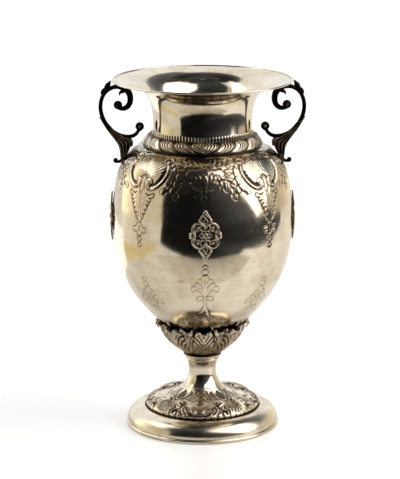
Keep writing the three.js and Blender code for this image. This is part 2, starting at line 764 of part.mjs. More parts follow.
const washerTop = stemZ - SPIGOT_H;
const nutTop = washerTop - WASHER_T;
add('tie_stud', tieStud(nutTop - NUT_H - STUD_TAIL), hardware);
add('stud_washer', studWasher(washerTop), hardware);
add('stud_nut', studNut(nutTop), hardware);

export default vase;
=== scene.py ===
"""Footed silver vase: chased bowl, cast scroll handles, pierced mounts, acanthus calyx and domed foot."""

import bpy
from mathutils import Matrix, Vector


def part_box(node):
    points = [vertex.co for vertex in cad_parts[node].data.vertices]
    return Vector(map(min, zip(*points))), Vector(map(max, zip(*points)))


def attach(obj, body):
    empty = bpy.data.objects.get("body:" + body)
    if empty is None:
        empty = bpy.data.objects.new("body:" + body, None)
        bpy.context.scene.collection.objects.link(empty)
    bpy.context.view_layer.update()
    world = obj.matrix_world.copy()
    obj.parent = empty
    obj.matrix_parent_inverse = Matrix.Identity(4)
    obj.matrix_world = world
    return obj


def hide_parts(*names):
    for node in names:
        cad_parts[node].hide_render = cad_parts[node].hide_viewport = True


bl_info = {
    "name": "Footed Silver Vase",
    "version": (1, 0, 0),
    "blender": (4, 5, 0),
    "location": "View3D > Sidebar > Vase",
    "description": "Silver vase with a chased bowl, cast handles, pierced mounts, calyx and domed foot",
    "category": "Add Mesh",
}

import math

import bpy
import numpy as np
from bpy.props import FloatProperty, FloatVectorProperty, IntProperty, PointerProperty
from bpy.types import Operator, Panel, PropertyGroup
from mathutils import Matrix, Vector

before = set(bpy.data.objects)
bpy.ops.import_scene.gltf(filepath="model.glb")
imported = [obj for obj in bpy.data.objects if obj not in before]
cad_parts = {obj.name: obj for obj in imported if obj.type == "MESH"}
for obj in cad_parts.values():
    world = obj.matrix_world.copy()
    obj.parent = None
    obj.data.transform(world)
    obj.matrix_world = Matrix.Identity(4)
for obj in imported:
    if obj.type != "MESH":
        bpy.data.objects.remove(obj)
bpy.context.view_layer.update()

MM = 0.001
TAU = 2 * math.pi

# Driving sizes in millimetres. The outer ones come from the frame.
SHEET = 1.0
SEAM = 0.15
PIP_R = 9.0
BELT_RISE = 112.5
SHOULDER_R = 54.0
LAND_RISE = 3.0
NECK_R = 41.8
NECK_LAP = 2.2
NECK_STRAIGHT = 10.6
APPLIQUE_RISE = 2.0

# Handles: half the scroll's wire, the scroll's width and its reach above and below its widest point
SCROLL_HALF = 1.9
SCROLL_W = 25.0
SCROLL_RISE = 15.8
SCROLL_FALL = 25.6
HANDLE_DROP = 21.9  # underside of the mouth's wire to the widest point
HANDLE_FOOT_DROP = 13.4  # edge of the shoulder land to the foot of a handle
CREST_REACH = 76.6 / 85.4  # tip of the upper leaf, as a share of the scroll's reach
CREST_DROP = 1.6

# Calyx and stem
LEAF_FOOT_R = 16.4
LEAF_TIP_R = 38.6
LEAF_RISE = 25.4
LEAF_LAYER = 1.4
LEAF_WALL = 0.8
BORE_R = 2.45
DISH_BORE_R = 2.6
SPIGOT_R = 5.8
SPIGOT_H = 1.2
STEM_TOP_R = 13.2
STEM_WAIST = 3.7

# Foot
MOUND_LIP = 1.6
MOUND_CROWN_R = 16.5
MOUND_HOLE_R = 6.05
FOOT_LAND = 4.1
FOOT_WIRE_W = 3.2


def span(node):
    """Lowest and highest corner of a node of the frame, in millimetres."""
    low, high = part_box(node)
    return np.array(low) / MM, np.array(high) / MM


# Curves


def cubic(a, b, c, d, steps):
    """Cubic curve from a to d pulled by b and c: the four points weighted by the Bernstein terms."""
    t = np.linspace(0, 1, steps + 1)[:, None]
    a, b, c, d = (np.asarray(p, float) for p in (a, b, c, d))
    return (1 - t) ** 3 * a + 3 * (1 - t) ** 2 * t * b + 3 * (1 - t) * t * t * c + t**3 * d


def within(a, b, across, up):
    """The point a share of the way across and up the box from corner a to corner b."""
    return a[0] + (b[0] - a[0]) * across, a[1] + (b[1] - a[1]) * up


def spline(points, steps=6):
    """Smooth curve through every point: each span is a cubic whose end slopes join its neighbours."""
    p = np.asarray(points, float)
    p = np.vstack([2 * p[0] - p[1], p, 2 * p[-1] - p[-2]])
    t = np.linspace(0, 1, steps, endpoint=False)[None, :, None]
    a, b, c, d = (p[i : len(p) - 3 + i, None, :] for i in range(4))
    parts = b + 0.5 * t * (c - a + t * (2 * a - 5 * b + 4 * c - d + t * (3 * (b - c) + d - a)))
    return np.vstack([parts.reshape(-1, p.shape[1]), p[-2]])


def arc(centre, radius, start, stop, steps=14):
    """Points on a circle between two angles in degrees, measured from the x axis."""
    a = np.radians(np.linspace(start, stop, steps + 1))
    return np.stack([centre[0] + radius * np.cos(a), centre[1] + radius * np.sin(a)], 1)


def spiral(centre, inner, outer, start, stop, steps=40):
    """Points on a spiral whose radius grows evenly from inner to outer as it turns."""
    a = np.radians(np.linspace(start, stop, steps + 1))
    r = np.linspace(inner, outer, steps + 1)
    return np.stack([centre[0] + r * np.cos(a), centre[1] + r * np.sin(a)], 1)


def resample(path, count):
    """The same path with points spaced evenly along its length."""
    run = np.r_[0, np.cumsum(np.linalg.norm(np.diff(path, axis=0), axis=1))]
    at = np.linspace(0, run[-1], count)
    return np.stack([np.interp(at, run, path[:, k]) for k in range(path.shape[1])], 1)


def across(path):
    """Unit vectors in the plane of a flat path, a quarter turn to the left of its direction."""
    tangent = np.gradient(path, axis=0)
    tangent /= np.linalg.norm(tangent, axis=1)[:, None] + 1e-12
    return np.stack([-tangent[:, 1], tangent[:, 0]], 1)


def smooth(low, high, value):
    """Smooth step from 0 at low to 1 at high."""
    t = np.clip((value - low) / (high - low), 0, 1)
    return t * t * (3 - 2 * t)


class Outline:
    """A turned outline of (radius, height) points, read by the length run along it."""

    def __init__(self, *parts):
        line = np.vstack(parts)
        step = np.linalg.norm(np.diff(line, axis=0), axis=1)
        self.line = line[np.r_[True, step > 1e-6]]
        self.runs = np.r_[0, np.cumsum(np.linalg.norm(np.diff(self.line, axis=0), axis=1))]
        self.length = self.runs[-1]

    def at(self, run):
        """Radius and height at each run."""
        return np.stack([np.interp(run, self.runs, self.line[:, k]) for k in (0, 1)], -1)

    def normal(self, run, reach=0.25):
        """Outward unit normal at each run, square to the chord between points just before and after."""
        run = np.asarray(run, float)
        chord = self.at(np.minimum(run + reach, self.length)) - self.at(np.maximum(run - reach, 0))
        chord /= np.linalg.norm(chord, axis=-1)[..., None] + 1e-12
        return np.stack([chord[..., 1], -chord[..., 0]], -1)

    def run_at_height(self, height):
        """Run of the first point that reaches a height."""
        return self.runs[np.argmax(self.line[:, 1] >= height)]


# Meshes


def quads(rows, columns, wrap_rows, wrap_columns=True):
    """Corner numbers of the faces of a grid of points that is laid out row by row."""
    i = np.arange(rows if wrap_rows else rows - 1)[:, None]
    j = np.arange(columns if wrap_columns else columns - 1)[None, :]
    i2, j2 = (i + 1) % rows, (j + 1) % columns
    corners = [i * columns + j, i * columns + j2, i2 * columns + j2, i2 * columns + j]
    return np.stack(np.broadcast_arrays(*corners), -1).reshape(-1, 4)


def volume(points, faces):
    """Signed volume inside closed faces: a sixth of the sum of the corner vectors' triple products."""
    a, b, c = (points[faces[:, k]] for k in range(3))
    total = np.einsum("ij,ij->", a, np.cross(b, c))
    if faces.shape[1] == 4:
        total += np.einsum("ij,ij->", a, np.cross(c, points[faces[:, 3]]))
    return total / 6


def store(mesh, name, values):
    """Stores one value for each point of a mesh."""
    mesh.attributes.new(name, "FLOAT", "POINT").data.foreach_set("value", np.ravel(values).astype(np.float32))


def new_object(name, points, faces, material):
    """An object at the origin, whose mesh has the points in metres."""
    mesh = bpy.data.meshes.new(name)
    mesh.from_pydata(np.asarray(points, float).tolist(), [], faces)
    mesh.update()
    made = bpy.data.objects.new(name, mesh)
    bpy.context.scene.collection.objects.link(made)
    mesh.materials.append(material)
    return made


class Form:
    """Closed bodies collected into one mesh, each with a value for how dark its hollows are: oxide, and on
    some pieces painted shade in gaps and on hidden sides.
    """

    def __init__(self):
        self.points, self.tone, self.faces, self.count = [], [], [], 0

    def body(self, points, faces, tone):
        """Adds one closed body, turned so that its faces point outwards."""
        if sum(volume(points, f) for f in faces) < 0:
            faces = [f[:, ::-1] for f in faces]
        self.faces += [f + self.count for f in faces]
        self.points.append(points)
        self.tone.append(np.broadcast_to(tone, len(points)))
        self.count += len(points)

    def rings(self, grid, tone=0.0, wrap_rows=False):
        """Adds rings of points (rows, columns, 3). Open ends are closed by fans to their middles."""
        rows, columns = grid.shape[:2]
        points = grid.reshape(-1, 3)
        tone = np.broadcast_to(tone, (rows, columns)).reshape(-1)
        faces = [quads(rows, columns, wrap_rows)]
        if not wrap_rows:
            middles = np.stack([grid[0].mean(axis=0), grid[-1].mean(axis=0)])
            points = np.vstack([points, middles])
            tone = np.r_[tone, tone[0], tone[columns * (rows - 1)]]
            j = np.arange(columns)
            first = np.stack([np.full(columns, len(points) - 2), (j + 1) % columns, j], 1)
            last = (rows - 1) * columns
            final = np.stack([np.full(columns, len(points) - 1), last + j, last + (j + 1) % columns], 1)
            faces += [first, final]
        self.body(points, faces, tone)

    def moved(self, change, mirrored=False):
        """The same bodies with changed points, and with their faces turned back in a mirror image."""
        other = Form()
        other.points = [change(p) for p in self.points]
        other.tone, other.count = self.tone, self.count
        other.faces = [f[:, ::-1] for f in self.faces] if mirrored else self.faces
        return other

    def make(self, name, material, nodes, slot):
        """Makes the object, riding on the vase in the place of its nodes."""
        faces = [face for group in self.faces for face in group.tolist()]
        made = new_object(name, np.vstack(self.points) * MM, faces, material)
        made.data.polygons.foreach_set("use_smooth", np.ones(len(faces), bool))
        store(made.data, "hollow", np.concatenate(self.tone))
        made.data.update()
        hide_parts(*nodes)
        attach(made, "root")


def turn_rings(radius, height, columns, start=0.0):
    """Points round the axis: x is radius times the sine of the angle, y minus its cosine."""
    angle = TAU * np.arange(columns) / columns + start
    radius, height, angle = np.broadcast_arrays(radius, height, angle)
    return np.stack([radius * np.sin(angle), -radius * np.cos(angle), height], -1)


def turned(outline, runs, columns, lift, start=0.0):
    """Rings of a turned surface: each point of the outline moved out along its normal by the lift."""
    base, normal = outline.at(runs)[:, None, :], outline.normal(runs)[:, None, :]
    moved = base + normal * np.broadcast_to(lift, (len(runs), columns))[..., None]
    return turn_rings(moved[..., 0], moved[..., 1], columns, start)


def turned_loop(points, columns, tone=0.0):
    """A turned solid ring whose section is a closed outline."""
    form = Form()
    line = np.asarray(points, float)
    form.rings(turn_rings(line[:, :1], line[:, 1:], columns), tone, wrap_rows=True)
    return form


def fold(columns, sectors):
    """For each column, its place in half a sector, as the ornament is mirrored and repeated."""
    width = columns // sectors
    place = np.arange(columns) % width
    return np.minimum(place, width - place)


def polar(points, turn):
    """Points turned about the axis by an angle."""
    c, s = math.cos(turn), math.sin(turn)
    x, y = points[..., 0], points[..., 1]
    return np.stack([c * x - s * y, s * x + c * y, points[..., 2]], -1)


# Chased work


class Chasing:
    """Raised and sunk work on an unrolled surface, x across and y up, in millimetres."""

    def __init__(self, x, y):
        self.x, self.y = np.broadcast_arrays(x, y)
        self.lift = np.zeros(self.x.shape)
        self.dark = np.zeros(self.x.shape)

    def seen_from(self, x, y=None):
        """The same work measured across from another line, and up from another one if it is given."""
        other = Chasing(x, self.y if y is None else y)
        other.lift, other.dark = self.lift, self.dark
        return other

    def distance(self, path):
        """Distance of every point from a path: the least of its distances from the straight steps."""
        best = np.full(self.x.shape, 1e9)
        for (ax, ay), (bx, by) in zip(path[:-1], path[1:]):
            dx, dy = bx - ax, by - ay
            t = np.clip(((self.x - ax) * dx + (self.y - ay) * dy) / (dx * dx + dy * dy + 1e-9), 0, 1)
            best = np.minimum(best, np.hypot(self.x - ax - t * dx, self.y - ay - t * dy))
        return best

    def groove(self, path, width=0.52, depth=0.3, tone=0.85):
        """A chased line: a bell-shaped hollow along the path, darkened at its bottom."""
        near = np.exp(-((self.distance(path) / width) ** 2))
        self.lift -= depth * near
        np.maximum(self.dark, tone * near, out=self.dark)

    def roll(self, path, half=1.1, height=0.6, tone=0.9):
        """A half-round moulding along the path with a dark line down either side."""
        d = self.distance(path)
        self.lift += height * np.sqrt(np.clip(1 - (d / half) ** 2, 0, 1))
        line = np.exp(-(((d - half * 1.25) / (half * 0.45)) ** 2))
        self.lift -= 0.3 * height * line
        np.maximum(self.dark, tone * line, out=self.dark)

    def dome(self, centre, radii, height):
        """A low swelling: one less the squared distance from the middle, in shares of its radii."""
        q = ((self.x - centre[0]) / radii[0]) ** 2 + ((self.y - centre[1]) / radii[1]) ** 2
        self.lift += height * np.clip(1 - q, 0, None)

    def fan(self, centre, near, far, start, stop, ribs, height=0.25, tone=0.5):
        """Flutes that spread from a centre, between two distances and two angles from straight up."""
        dx, dy = self.x - centre[0], self.y - centre[1]
        r, angle = np.hypot(dx, dy), np.degrees(np.arctan2(dx, dy))
        share = (angle - start) / (stop - start)
        inside = smooth(near, near + 1.5, r) * (1 - smooth(far - 1.5, far, r))
        inside = inside * smooth(-0.02, 0.04, share) * (1 - smooth(0.96, 1.02, share))
        wave = np.abs(np.sin(math.pi * ribs * share))
        self.lift += height * (wave - 0.5) * inside
        np.maximum(self.dark, tone * (1 - wave) ** 3 * inside, out=self.dark)


def eighth(line, runs, columns, start):
    """Chasing on an eighth of the way round, up from a starting run: first measured across from its
    one edge and then the same work from its other edge."""
    angle = np.linspace(0, math.pi / 4, columns // 8 + 1)[None, :]
    radius = line.at(runs)[:, :1]
    work = Chasing(angle * radius, (runs - start)[:, None])
    return work, work.seen_from((math.pi / 4 - angle) * radius)


def strokes(chasing, paths, x=0.0, y=0.0, **cut):
    """Chases each list of points as a smooth line, moved by x and y."""
    for path in paths:
        chasing.groove(spline(np.asarray(path, float) + (x, y), 4), **cut)


# One half of the ornament of each kind, as points across from its middle line and up from its foot
PALMETTE = [
    [(0, 23.3), (1.6, 22.5), (2.9, 20.5), (3.4, 18.6)],
    [(3.4, 18.6), (4.6, 19.3), (5.9, 18.5), (6.2, 16.2)],
    [(1.8, 10.2), (3.2, 12.8), (5.2, 14.6), (7.4, 15.3), (8.5, 13.8), (8.6, 12.0)],
    [(8.6, 12.0), (10.2, 11.7), (11.4, 10.1), (10.9, 8.4)],
    [(0.9, 0.6), (2.2, 2.4), (3.7, 5.0), (5.4, 7.1), (7.2, 7.8), (8.6, 6.6), (10.0, 5.6), (11.4, 7.2)],
    [(0.9, 0.4), (3.0, 0.9), (5.4, 0.9), (6.7, -0.6), (6.6, -2.8), (5.0, -3.9), (3.0, -3.4), (2.6, -2.0)],
]
PALMETTE_RIBS = [
    [(0, 11.5), (0, 18.5)], [(1.4, 6.0), (1.7, 12.0)], [(2.6, 6.6), (4.4, 10.8)],
    [(4.6, 8.4), (7.6, 11.2)], [(1.6, 14.4), (2.4, 17.6)],
]
TREFOIL = [
    [(0, 8.6), (2.0, 7.8), (3.3, 5.6), (4.0, 4.2)],
    [(4.0, 4.2), (6.0, 4.6), (7.4, 3.0), (7.0, 0.8), (5.2, -0.2), (3.4, 0.6)],
    [(3.4, 0.6), (2.6, -1.4), (1.2, -2.6), (0, -3.0)],
    [(0, 5.4), (0, 1.4)],
]
DROP = [
    [(5.0, 33.0), (8.6, 32.2), (12.2, 34.0), (13.6, 33.0), (12.6, 30.2), (9.6, 29.6)],
    [(9.6, 29.6), (10.8, 27.8), (9.8, 26.0), (7.8, 27.0)],
    [(7.8, 27.0), (9.4, 25.4), (8.6, 23.2), (6.9, 24.4)],
    [(6.9, 24.6), (8.0, 21.8), (6.9, 19.4), (5.4, 20.4)],
    [(5.4, 20.4), (6.2, 17.6), (5.2, 15.4), (4.0, 16.4)],
    [(4.0, 16.4), (4.4, 13.8), (3.2, 11.6), (1.6, 9.6)],
]
DROP_VEINS = [
    [(9.0, 31.4), (5.6, 31.0), (3.2, 27.6)], [(7.2, 28.0), (4.8, 26.8), (2.9, 23.6)],
    [(6.3, 24.8), (4.2, 23.4), (2.6, 20.2)], [(4.9, 20.6), (3.4, 19.0), (2.1, 16.0)],
    [(3.5, 16.4), (2.4, 14.8), (1.4, 12.0)], [(0.5, 36.0), (0.9, 24.0), (0.5, 10.6)],
]
PETALS = [
    [(0.9, 40.5), (2.4, 44.0), (2.6, 48.5), (1.4, 51.3), (0, 52.2)],
    [(2.0, 41.6), (4.8, 44.6), (6.4, 49.0), (5.6, 52.0), (3.9, 52.2), (3.2, 49.6)],
    [(2.3, 40.6), (6.0, 42.0), (8.9, 45.2), (9.8, 49.2), (8.5, 51.2), (6.8, 49.8)],
    [(2.0, 39.4), (5.6, 39.4), (9.0, 41.4), (10.8, 44.8), (10.1, 46.8), (8.4, 46.0)],
]
PETAL_VEINS = [
    [(0, 42), (0, 48)], [(3.0, 43.4), (4.6, 48.2)], [(4.4, 42.4), (7.6, 47.0)], [(5.0, 40.8), (8.2, 43.6)],
]
CREST_SCROLLS = [
    [(11.8, 57.1), (7.6, 56.6), (3.6, 57.4), (0, 59.0)],
    [(12.4, 56.8), (15.6, 53.6), (16.8, 50.0), (15.4, 47.0)],
]
FRONT_LEAVES = [
    [(10.8, 44.8), (14.4, 46.6), (18.2, 46.0), (22.0, 43.6), (26.0, 41.6), (29.4, 42.6)],
    [(14.6, 49.6), (18.0, 52.6), (22.0, 52.8), (24.6, 50.4)],
    [(17.6, 56.0), (21.4, 58.6), (25.0, 58.2), (27.2, 55.6)],
    [(16.6, 62.4), (20.4, 64.4), (24.0, 63.4)], [(11.0, 51.4), (12.6, 47.8), (11.4, 45.0)],
    [(22.6, 40.0), (24.2, 36.4), (23.0, 33.8)], [(12.4, 42.6), (13.2, 39.0), (11.6, 36.6)],
    [(4.0, 60.4), (5.6, 64.6), (4.4, 68.6)], [(8.6, 60.8), (9.6, 66.4), (7.6, 70.0)],
    [(13.4, 47.8), (15.0, 43.4), (14.2, 39.6)], [(19.4, 48.8), (23.6, 47.6), (26.6, 49.4)],
]
CARTOUCHE_LEAVES = [
    [(23.4, 60.4), (26.0, 57.0), (29.4, 56.0), (31.6, 58.0), (30.4, 61.4), (27.6, 61.0)],
    [(28.6, 53.0), (31.8, 50.8), (34.8, 52.2), (34.6, 55.6), (32.0, 56.0)],
    [(29.2, 47.4), (32.4, 45.2), (35.4, 46.6), (35.4, 49.6), (33.2, 50.2)],
    [(28.2, 42.0), (31.0, 39.4), (34.2, 40.2), (34.8, 43.2), (32.6, 44.4)],
    [(25.8, 38.4), (27.4, 35.2), (30.2, 34.6), (31.8, 36.6), (30.4, 38.6)],
    [(12.4, 61.6), (9.0, 65.4), (4.6, 66.6), (0, 64.8)], [(5.4, 68.4), (2.6, 62.4)],
    [(8.6, 63.0), (10.6, 67.6)], [(14.8, 66.6), (13.4, 70.6)], [(22.0, 69.0), (25.6, 66.8), (27.2, 63.2)],
]
LOW_LEAVES = [
    [(31.2, 36.5), (29.6, 33.0), (31.4, 30.0), (34.2, 31.2), (34.2, 34.6)], [(32.4, 35.6), (32.0, 32.4)],
]


def chase_palmette(work, foot, stem):
    """A palmette over two rings: lobed outline, ribs, two curls and a stem that spreads at its foot."""
    strokes(work, PALMETTE, y=foot, tone=0.62)
    strokes(work, PALMETTE_RIBS, y=foot, width=0.5, depth=0.18, tone=0.45)
    root = [(1.2, 0), (1.2, -0.6 * stem), (2.0, -0.8 * stem), (4.2, -1.35 * stem)]
    strokes(work, [root], y=foot, tone=0.62)
    work.groove(arc((0, foot + 25.7), 2.7, -90, 90), tone=0.62)
    work.groove(arc((0, foot + 30.2), 2.0, -20, 90), tone=0.62)


def chase_cartouche(work):
    """A swelled shell panel between C scrolls, over an acanthus drop, a trefoil and two rings."""
    work.dome((0, 54), (18, 13), 0.25)
    work.fan((0, 45.5), 5.0, 21.0, -88, 88, 19, 0.42, 0.5)
    eye, crest = (6.4, 42.0), (17.4, 62.6)
    body = spline([(7.0, 37.6), (11.0, 37.8), (15.2, 40.4), (18.8, 44.8), (20.6, 49.8), (20.4, 54.6),
                   (19.0, 58.2)])
    work.roll(spiral(eye, 0.7, 3.9, -640, -78), 0.95, 0.6, 0.9)
    work.roll(body, 1.4, 0.7, 0.8)
    work.groove(spline([(8.2, 40.4), (12.0, 41.4), (15.4, 44.6), (17.7, 49.0), (18.0, 53.0)]), 0.95, 0.8, 1.5)
    work.roll(spiral(crest, 0.8, 4.0, -200, 190), 1.1, 0.8, 1.0)
    work.groove(arc((0, 44.4), 3.5, 8, 90), 0.6, 0.5, 1.2)
    work.groove(arc((0, 44.4), 1.9, 0, 90), 0.45, 0.3, 1.0)
    strokes(work, [[(0.9, 33), (1.6, 37), (1.4, 41)], [(2.2, 36), (2.6, 39), (2.2, 42)]], width=0.45)
    outer = spline([(21.6, 35.4), (24.8, 36.6), (27.6, 40.6), (28.6, 46.0), (28.4, 51.0), (27.0, 56.0)])
    work.groove(outer, 0.55, 0.5, 1.2)
    work.roll(outer + (-0.9, 0.5), 0.6, 0.35, 0.3)
    work.roll(spiral((20.2, 36.2), 0.5, 2.5, -460, 80, 24), 0.65, 0.4, 0.9)
    work.fan((15.5, 47), 6.2, 11.6, 34, 130, 12, 0.5, 1.0)
    strokes(work, CARTOUCHE_LEAVES, tone=1.0)
    strokes(work, DROP, depth=0.4, tone=1.1)
    strokes(work, DROP_VEINS, width=0.4, depth=0.18, tone=0.55)
    work.dome((0, 30), (9, 18), 0.4)
    strokes(work, TREFOIL, tone=0.75)
    work.groove(arc((0, -5.6), 2.2, -90, 90))
    work.groove(arc((0, -10.6), 1.9, -90, 90))
    strokes(work, LOW_LEAVES)


def chase_front(work):
    """A palmette hung over two rings above each pierced mount, with scrolls and leaf drops beside it."""
    strokes(work, PETALS, width=0.7, depth=0.4)
    strokes(work, PETAL_VEINS, width=0.6, depth=0.25, tone=0.8)
    work.dome((0, 47), (11, 8), 0.4)
    work.groove(arc((0, 36.7), 2.3, -90, 90), tone=1.0)
    work.groove(arc((0, 32.1), 2.2, -90, 90), tone=1.0)
    work.groove(spiral((12.6, 61.6), 0.8, 4.6, -420, -100), 0.6, 0.4, 1.1)
    strokes(work, CREST_SCROLLS, width=0.6, depth=0.4, tone=1.1)
    work.fan((0, 50), 7.5, 22, -40, 40, 13, 0.25, 0.7)
    drop = [(-2.4, 4.6), (-2.9, 0.4), (0, -3.4), (2.9, 0.4), (2.4, 4.6)]
    strokes(work, [drop, [(0, 4), (0, -1)]], 18.2, 40.4, width=0.6)
    strokes(work, FRONT_LEAVES, width=0.58, depth=0.3, tone=0.95)
    work.fan((20, 40), 6.5, 15, -30, 66, 9, 0.22, 0.6)
    work.fan((17, 56), 3.0, 9.0, -20, 100, 7, 0.22, 0.6)


def bowl_line():
    """The bowl's outline from its flat seat up to the belt and in over the shoulder to the neck seat."""
    low, high = span("body_bowl")
    pip, belt = (PIP_R, low[2]), (high[0], low[2] + BELT_RISE)
    land = (SHOULDER_R, high[2] - LAND_RISE)
    return Outline(
        cubic(pip, within(pip, belt, 0.627, 0.3), within(pip, belt, 1, 0.5), belt, 400),
        cubic(belt, within(belt, land, 0, 0.5), within(belt, land, 0.25, 0.88), land, 300),
        [(NECK_R + SEAM + 1.5, high[2]), (NECK_R + SEAM, high[2])],
    )


BOWL = bowl_line()
BELT_RUN = BOWL.run_at_height(span("body_bowl")[0][2] + BELT_RISE)


def make_bowl(finish, columns, strength):
    """The chased bowl: one closed shell whose outside is lifted and sunk by the ornament."""
    top = BOWL.run_at_height(span("body_bowl")[1][2] - LAND_RISE)
    palmettes, bare, shoulder = BELT_RUN + np.array([-74.5, -21.5, -13.0])
    zones = [(0, palmettes, 18), (palmettes, bare, 64), (bare, shoulder, 5), (shoulder, top, 103)]
    runs = np.concatenate([np.linspace(start, stop, rows, endpoint=False) for start, stop, rows in zones])
    runs = np.r_[runs, top, BOWL.length - 1.5, BOWL.length]
    work, corner = eighth(BOWL, runs, columns, BELT_RUN)
    chase_front(work)
    chase_cartouche(corner)
    chase_palmette(work, -55.0, 16.0)
    chase_palmette(corner, -72.0, 4.0)
    fade = 1 - smooth(top - 2.5, top - 0.5, runs)[:, None]
    places = fold(columns, 4)
    lift = (work.lift * fade * strength)[:, places]
    tone = (work.dark * fade)[:, places]
    outer = turned(BOWL, runs, columns, lift)
    inner_runs = np.r_[BOWL.length, np.linspace(top, 0, 14)]
    inner = turned(BOWL, inner_runs, columns, -SHEET)
    inner[0] = turn_rings(NECK_R + SEAM, BOWL.line[-1][1] - SHEET, columns)
    form = Form()
    tones = np.concatenate([tone, np.full((len(inner_runs), columns), 0.25)])
    form.rings(np.concatenate([outer, inner]), tones)
    form.make("bowl_chased", finish, ["body_bowl"], "silver_sheet")


def neck_line():
    """The neck's outline from inside the bowl up through the waist to the edge of the mouth."""
    high, seat = span("neck_mouth")[1], span("body_bowl")[1][2]
    foot, edge = (NECK_R, seat + NECK_STRAIGHT), (high[0], high[2] - SHEET)
    return Outline(
        [(NECK_R, seat - NECK_LAP)],
        cubic(foot, within(foot, edge, -0.017, 0.46), within(foot, edge, -0.028, 0.94), edge, 300),
    )


def make_neck(finish, columns, tongues, strength):
    """The spun neck and mouth, with a row of short tongues chased round the foot of the neck."""
    line = neck_line()
    seat = span("body_bowl")[1][2]
    runs = np.r_[np.linspace(0, 8, 5), np.linspace(9, 18, 24), np.linspace(18.8, line.length, 46)]
    height = line.at(runs)[:, 1:] - seat
    angle = TAU * np.arange(columns)[None, :] / columns
    window = smooth(5.6, 6.4, height) * (1 - smooth(11.0, 12.6, height))
    wave = np.abs(np.sin(0.5 * tongues * angle))
    lift = window * strength * 0.7 * (wave - 0.4)
    tone = window * (1 - wave) ** 1.4
    outer = turned(line, runs, columns, lift)
    inner_rows = 40
    inner = turned(line, np.linspace(line.length, 0, inner_rows), columns, -SHEET)
    form = Form()
    tones = np.concatenate([tone, np.zeros((inner_rows, columns))])
    form.rings(np.concatenate([outer, inner]), tones, wrap_rows=True)
    form.make("neck_spun", finish, ["neck_mouth"], "silver_sheet")


def make_lip(finish, columns=320):
    """The round wire of the mouth: a circle of points carried round the axis."""
    low, high = span("lip_wire")
    radius = (high[2] - low[2]) / 2
    ring = arc((high[0] - radius, high[2] - radius), radius, 0, 348, 29)
    turned_loop(ring, columns).make("lip_bead", finish, ["lip_wire"], "silver_sheet")


def make_wreath(finish, columns, leaves, rows=60):
    """The leaf border: a quarter-round band of leaves that point away from the front and back. Each is
    a pillow whose far edge curves out over the next one, cut by ribs along that curve."""
    low, high = span("shoulder_wreath")
    inner, foot = NECK_R + SEAM * 4, low[2]
    wide, tall = high[0] - inner - 1.6, high[2] - foot - 2.8
    rise = np.linspace(0, 1, rows)[:, None]
    angle = TAU * np.arange(columns)[None, :] / columns
    folded = np.minimum(angle, TAU - angle) / math.pi
    bulge = 0.62 * np.sin(math.pi * rise) - 0.55 * (1 - rise) - 0.12 * rise
    place = folded * leaves / 2 + 0.47 - bulge
    share = place - np.floor(place)
    vary = 1 + 0.22 * np.sin(2.4 * np.floor(place) + 1.0)
    swell = np.sqrt(np.clip(1 - (2 * share - 1) ** 4, 0, 1))
    tuck = 0.16 * (2 * share - 1) ** 2 * vary
    scallop = smooth(0.0, 0.22, rise - tuck)
    brow = 1 - smooth(0.66, 0.94, rise + tuck)
    comb = smooth(0.20, 0.40, share + 0.35 * (rise - 0.4)) * (1 - 0.5 * smooth(0.86, 1.0, share))
    wave = np.abs(np.sin(math.pi * 5.5 * share**1.1 + 1.5 * rise))
    lift = scallop * brow * (1.7 * vary * swell - 0.7 + 0.9 * (wave - 0.6) * comb)
    notch = 0.05 + 0.16 * smooth(0.55, 0.95, rise)
    crease = np.exp(-((share / notch) ** 2)) + np.exp(-(((share - 1) / 0.05) ** 2))
    # Tone: the hatching is dark as oxide; the crease where one leaf lies over the next and the band's foot
    # and top are painted shade.
    tone = 1.2 * crease + 1.3 * comb * (1 - wave) ** 1.1 + 1.1 * (1 - scallop) + 1.1 * (1 - brow)
    tone = np.clip(tone, 0, 1)
    section = rise * math.pi / 2
    out, up = np.cos(section) ** 1.15, np.sin(section) ** 1.15
    radius = inner + (wide + lift * out) * out
    height = foot + 0.1 + (tall + lift * up) * up
    close = [(inner, foot + tall * 0.6), (inner, foot + LAND_RISE + 0.2)]
    tail = np.stack([turn_rings(r, z, columns) for r, z in close])
    form = Form()
    # The rings that close the band against the neck are painted shade too.
    tones = np.concatenate([np.broadcast_to(tone, (rows, columns)), np.full((len(close), columns), 0.6)])
    form.rings(np.concatenate([turn_rings(radius, height, columns), tail]), tones, wrap_rows=True)
    form.make("wreath_leaves", finish, ["shoulder_wreath"], "silver_mounts")


# Cast handles


def ribbon(form, first, second, depth, ribs=0, cut=0.0, rows=60, sides=28, tone=0.0):
    """A casting between two edges in the plane of the handle. Across it goes from edge to edge and
    back, its thickness swells as a rounded half sine, and ribs run along it as a cosine of the way
    across."""
    first, second = resample(np.asarray(first, float), rows), resample(np.asarray(second, float), rows)
    depth = np.interp(np.linspace(0, 1, rows), np.linspace(0, 1, len(depth)), depth)[:, None]
    phi = TAU * (np.arange(sides) + 0.5) / sides
    u = ((1 - np.cos(phi)) / 2)[None, :]
    groove = 0.5 - 0.5 * np.cos(TAU * ribs * u) if ribs else np.zeros_like(u)
    swell = (np.sign(np.sin(phi)) * np.abs(np.sin(phi)) ** 0.75)[None, :]
    y = depth * swell * (1 - cut * (1 - groove))
    x = first[:, :1] * (1 - u) + second[:, :1] * u
    z = first[:, 1:] * (1 - u) + second[:, 1:] * u
    shade = tone + (0.9 - tone) * (1 - groove) ** 2 if ribs else tone
    form.rings(np.stack(np.broadcast_arrays(x, y, z), -1), shade)


def strip(form, path, half, depth, **shape):
    """A ribbon whose edges lie on either side of one path."""
    rows = shape.setdefault("rows", 80)
    path = resample(np.asarray(path, float), rows)
    t = np.linspace(0, 1, rows)
    half = np.interp(t, np.linspace(0, 1, len(half)), half)[:, None]
    side = across(path)
    ribbon(form, path - side * half, path + side * half, depth, **shape)


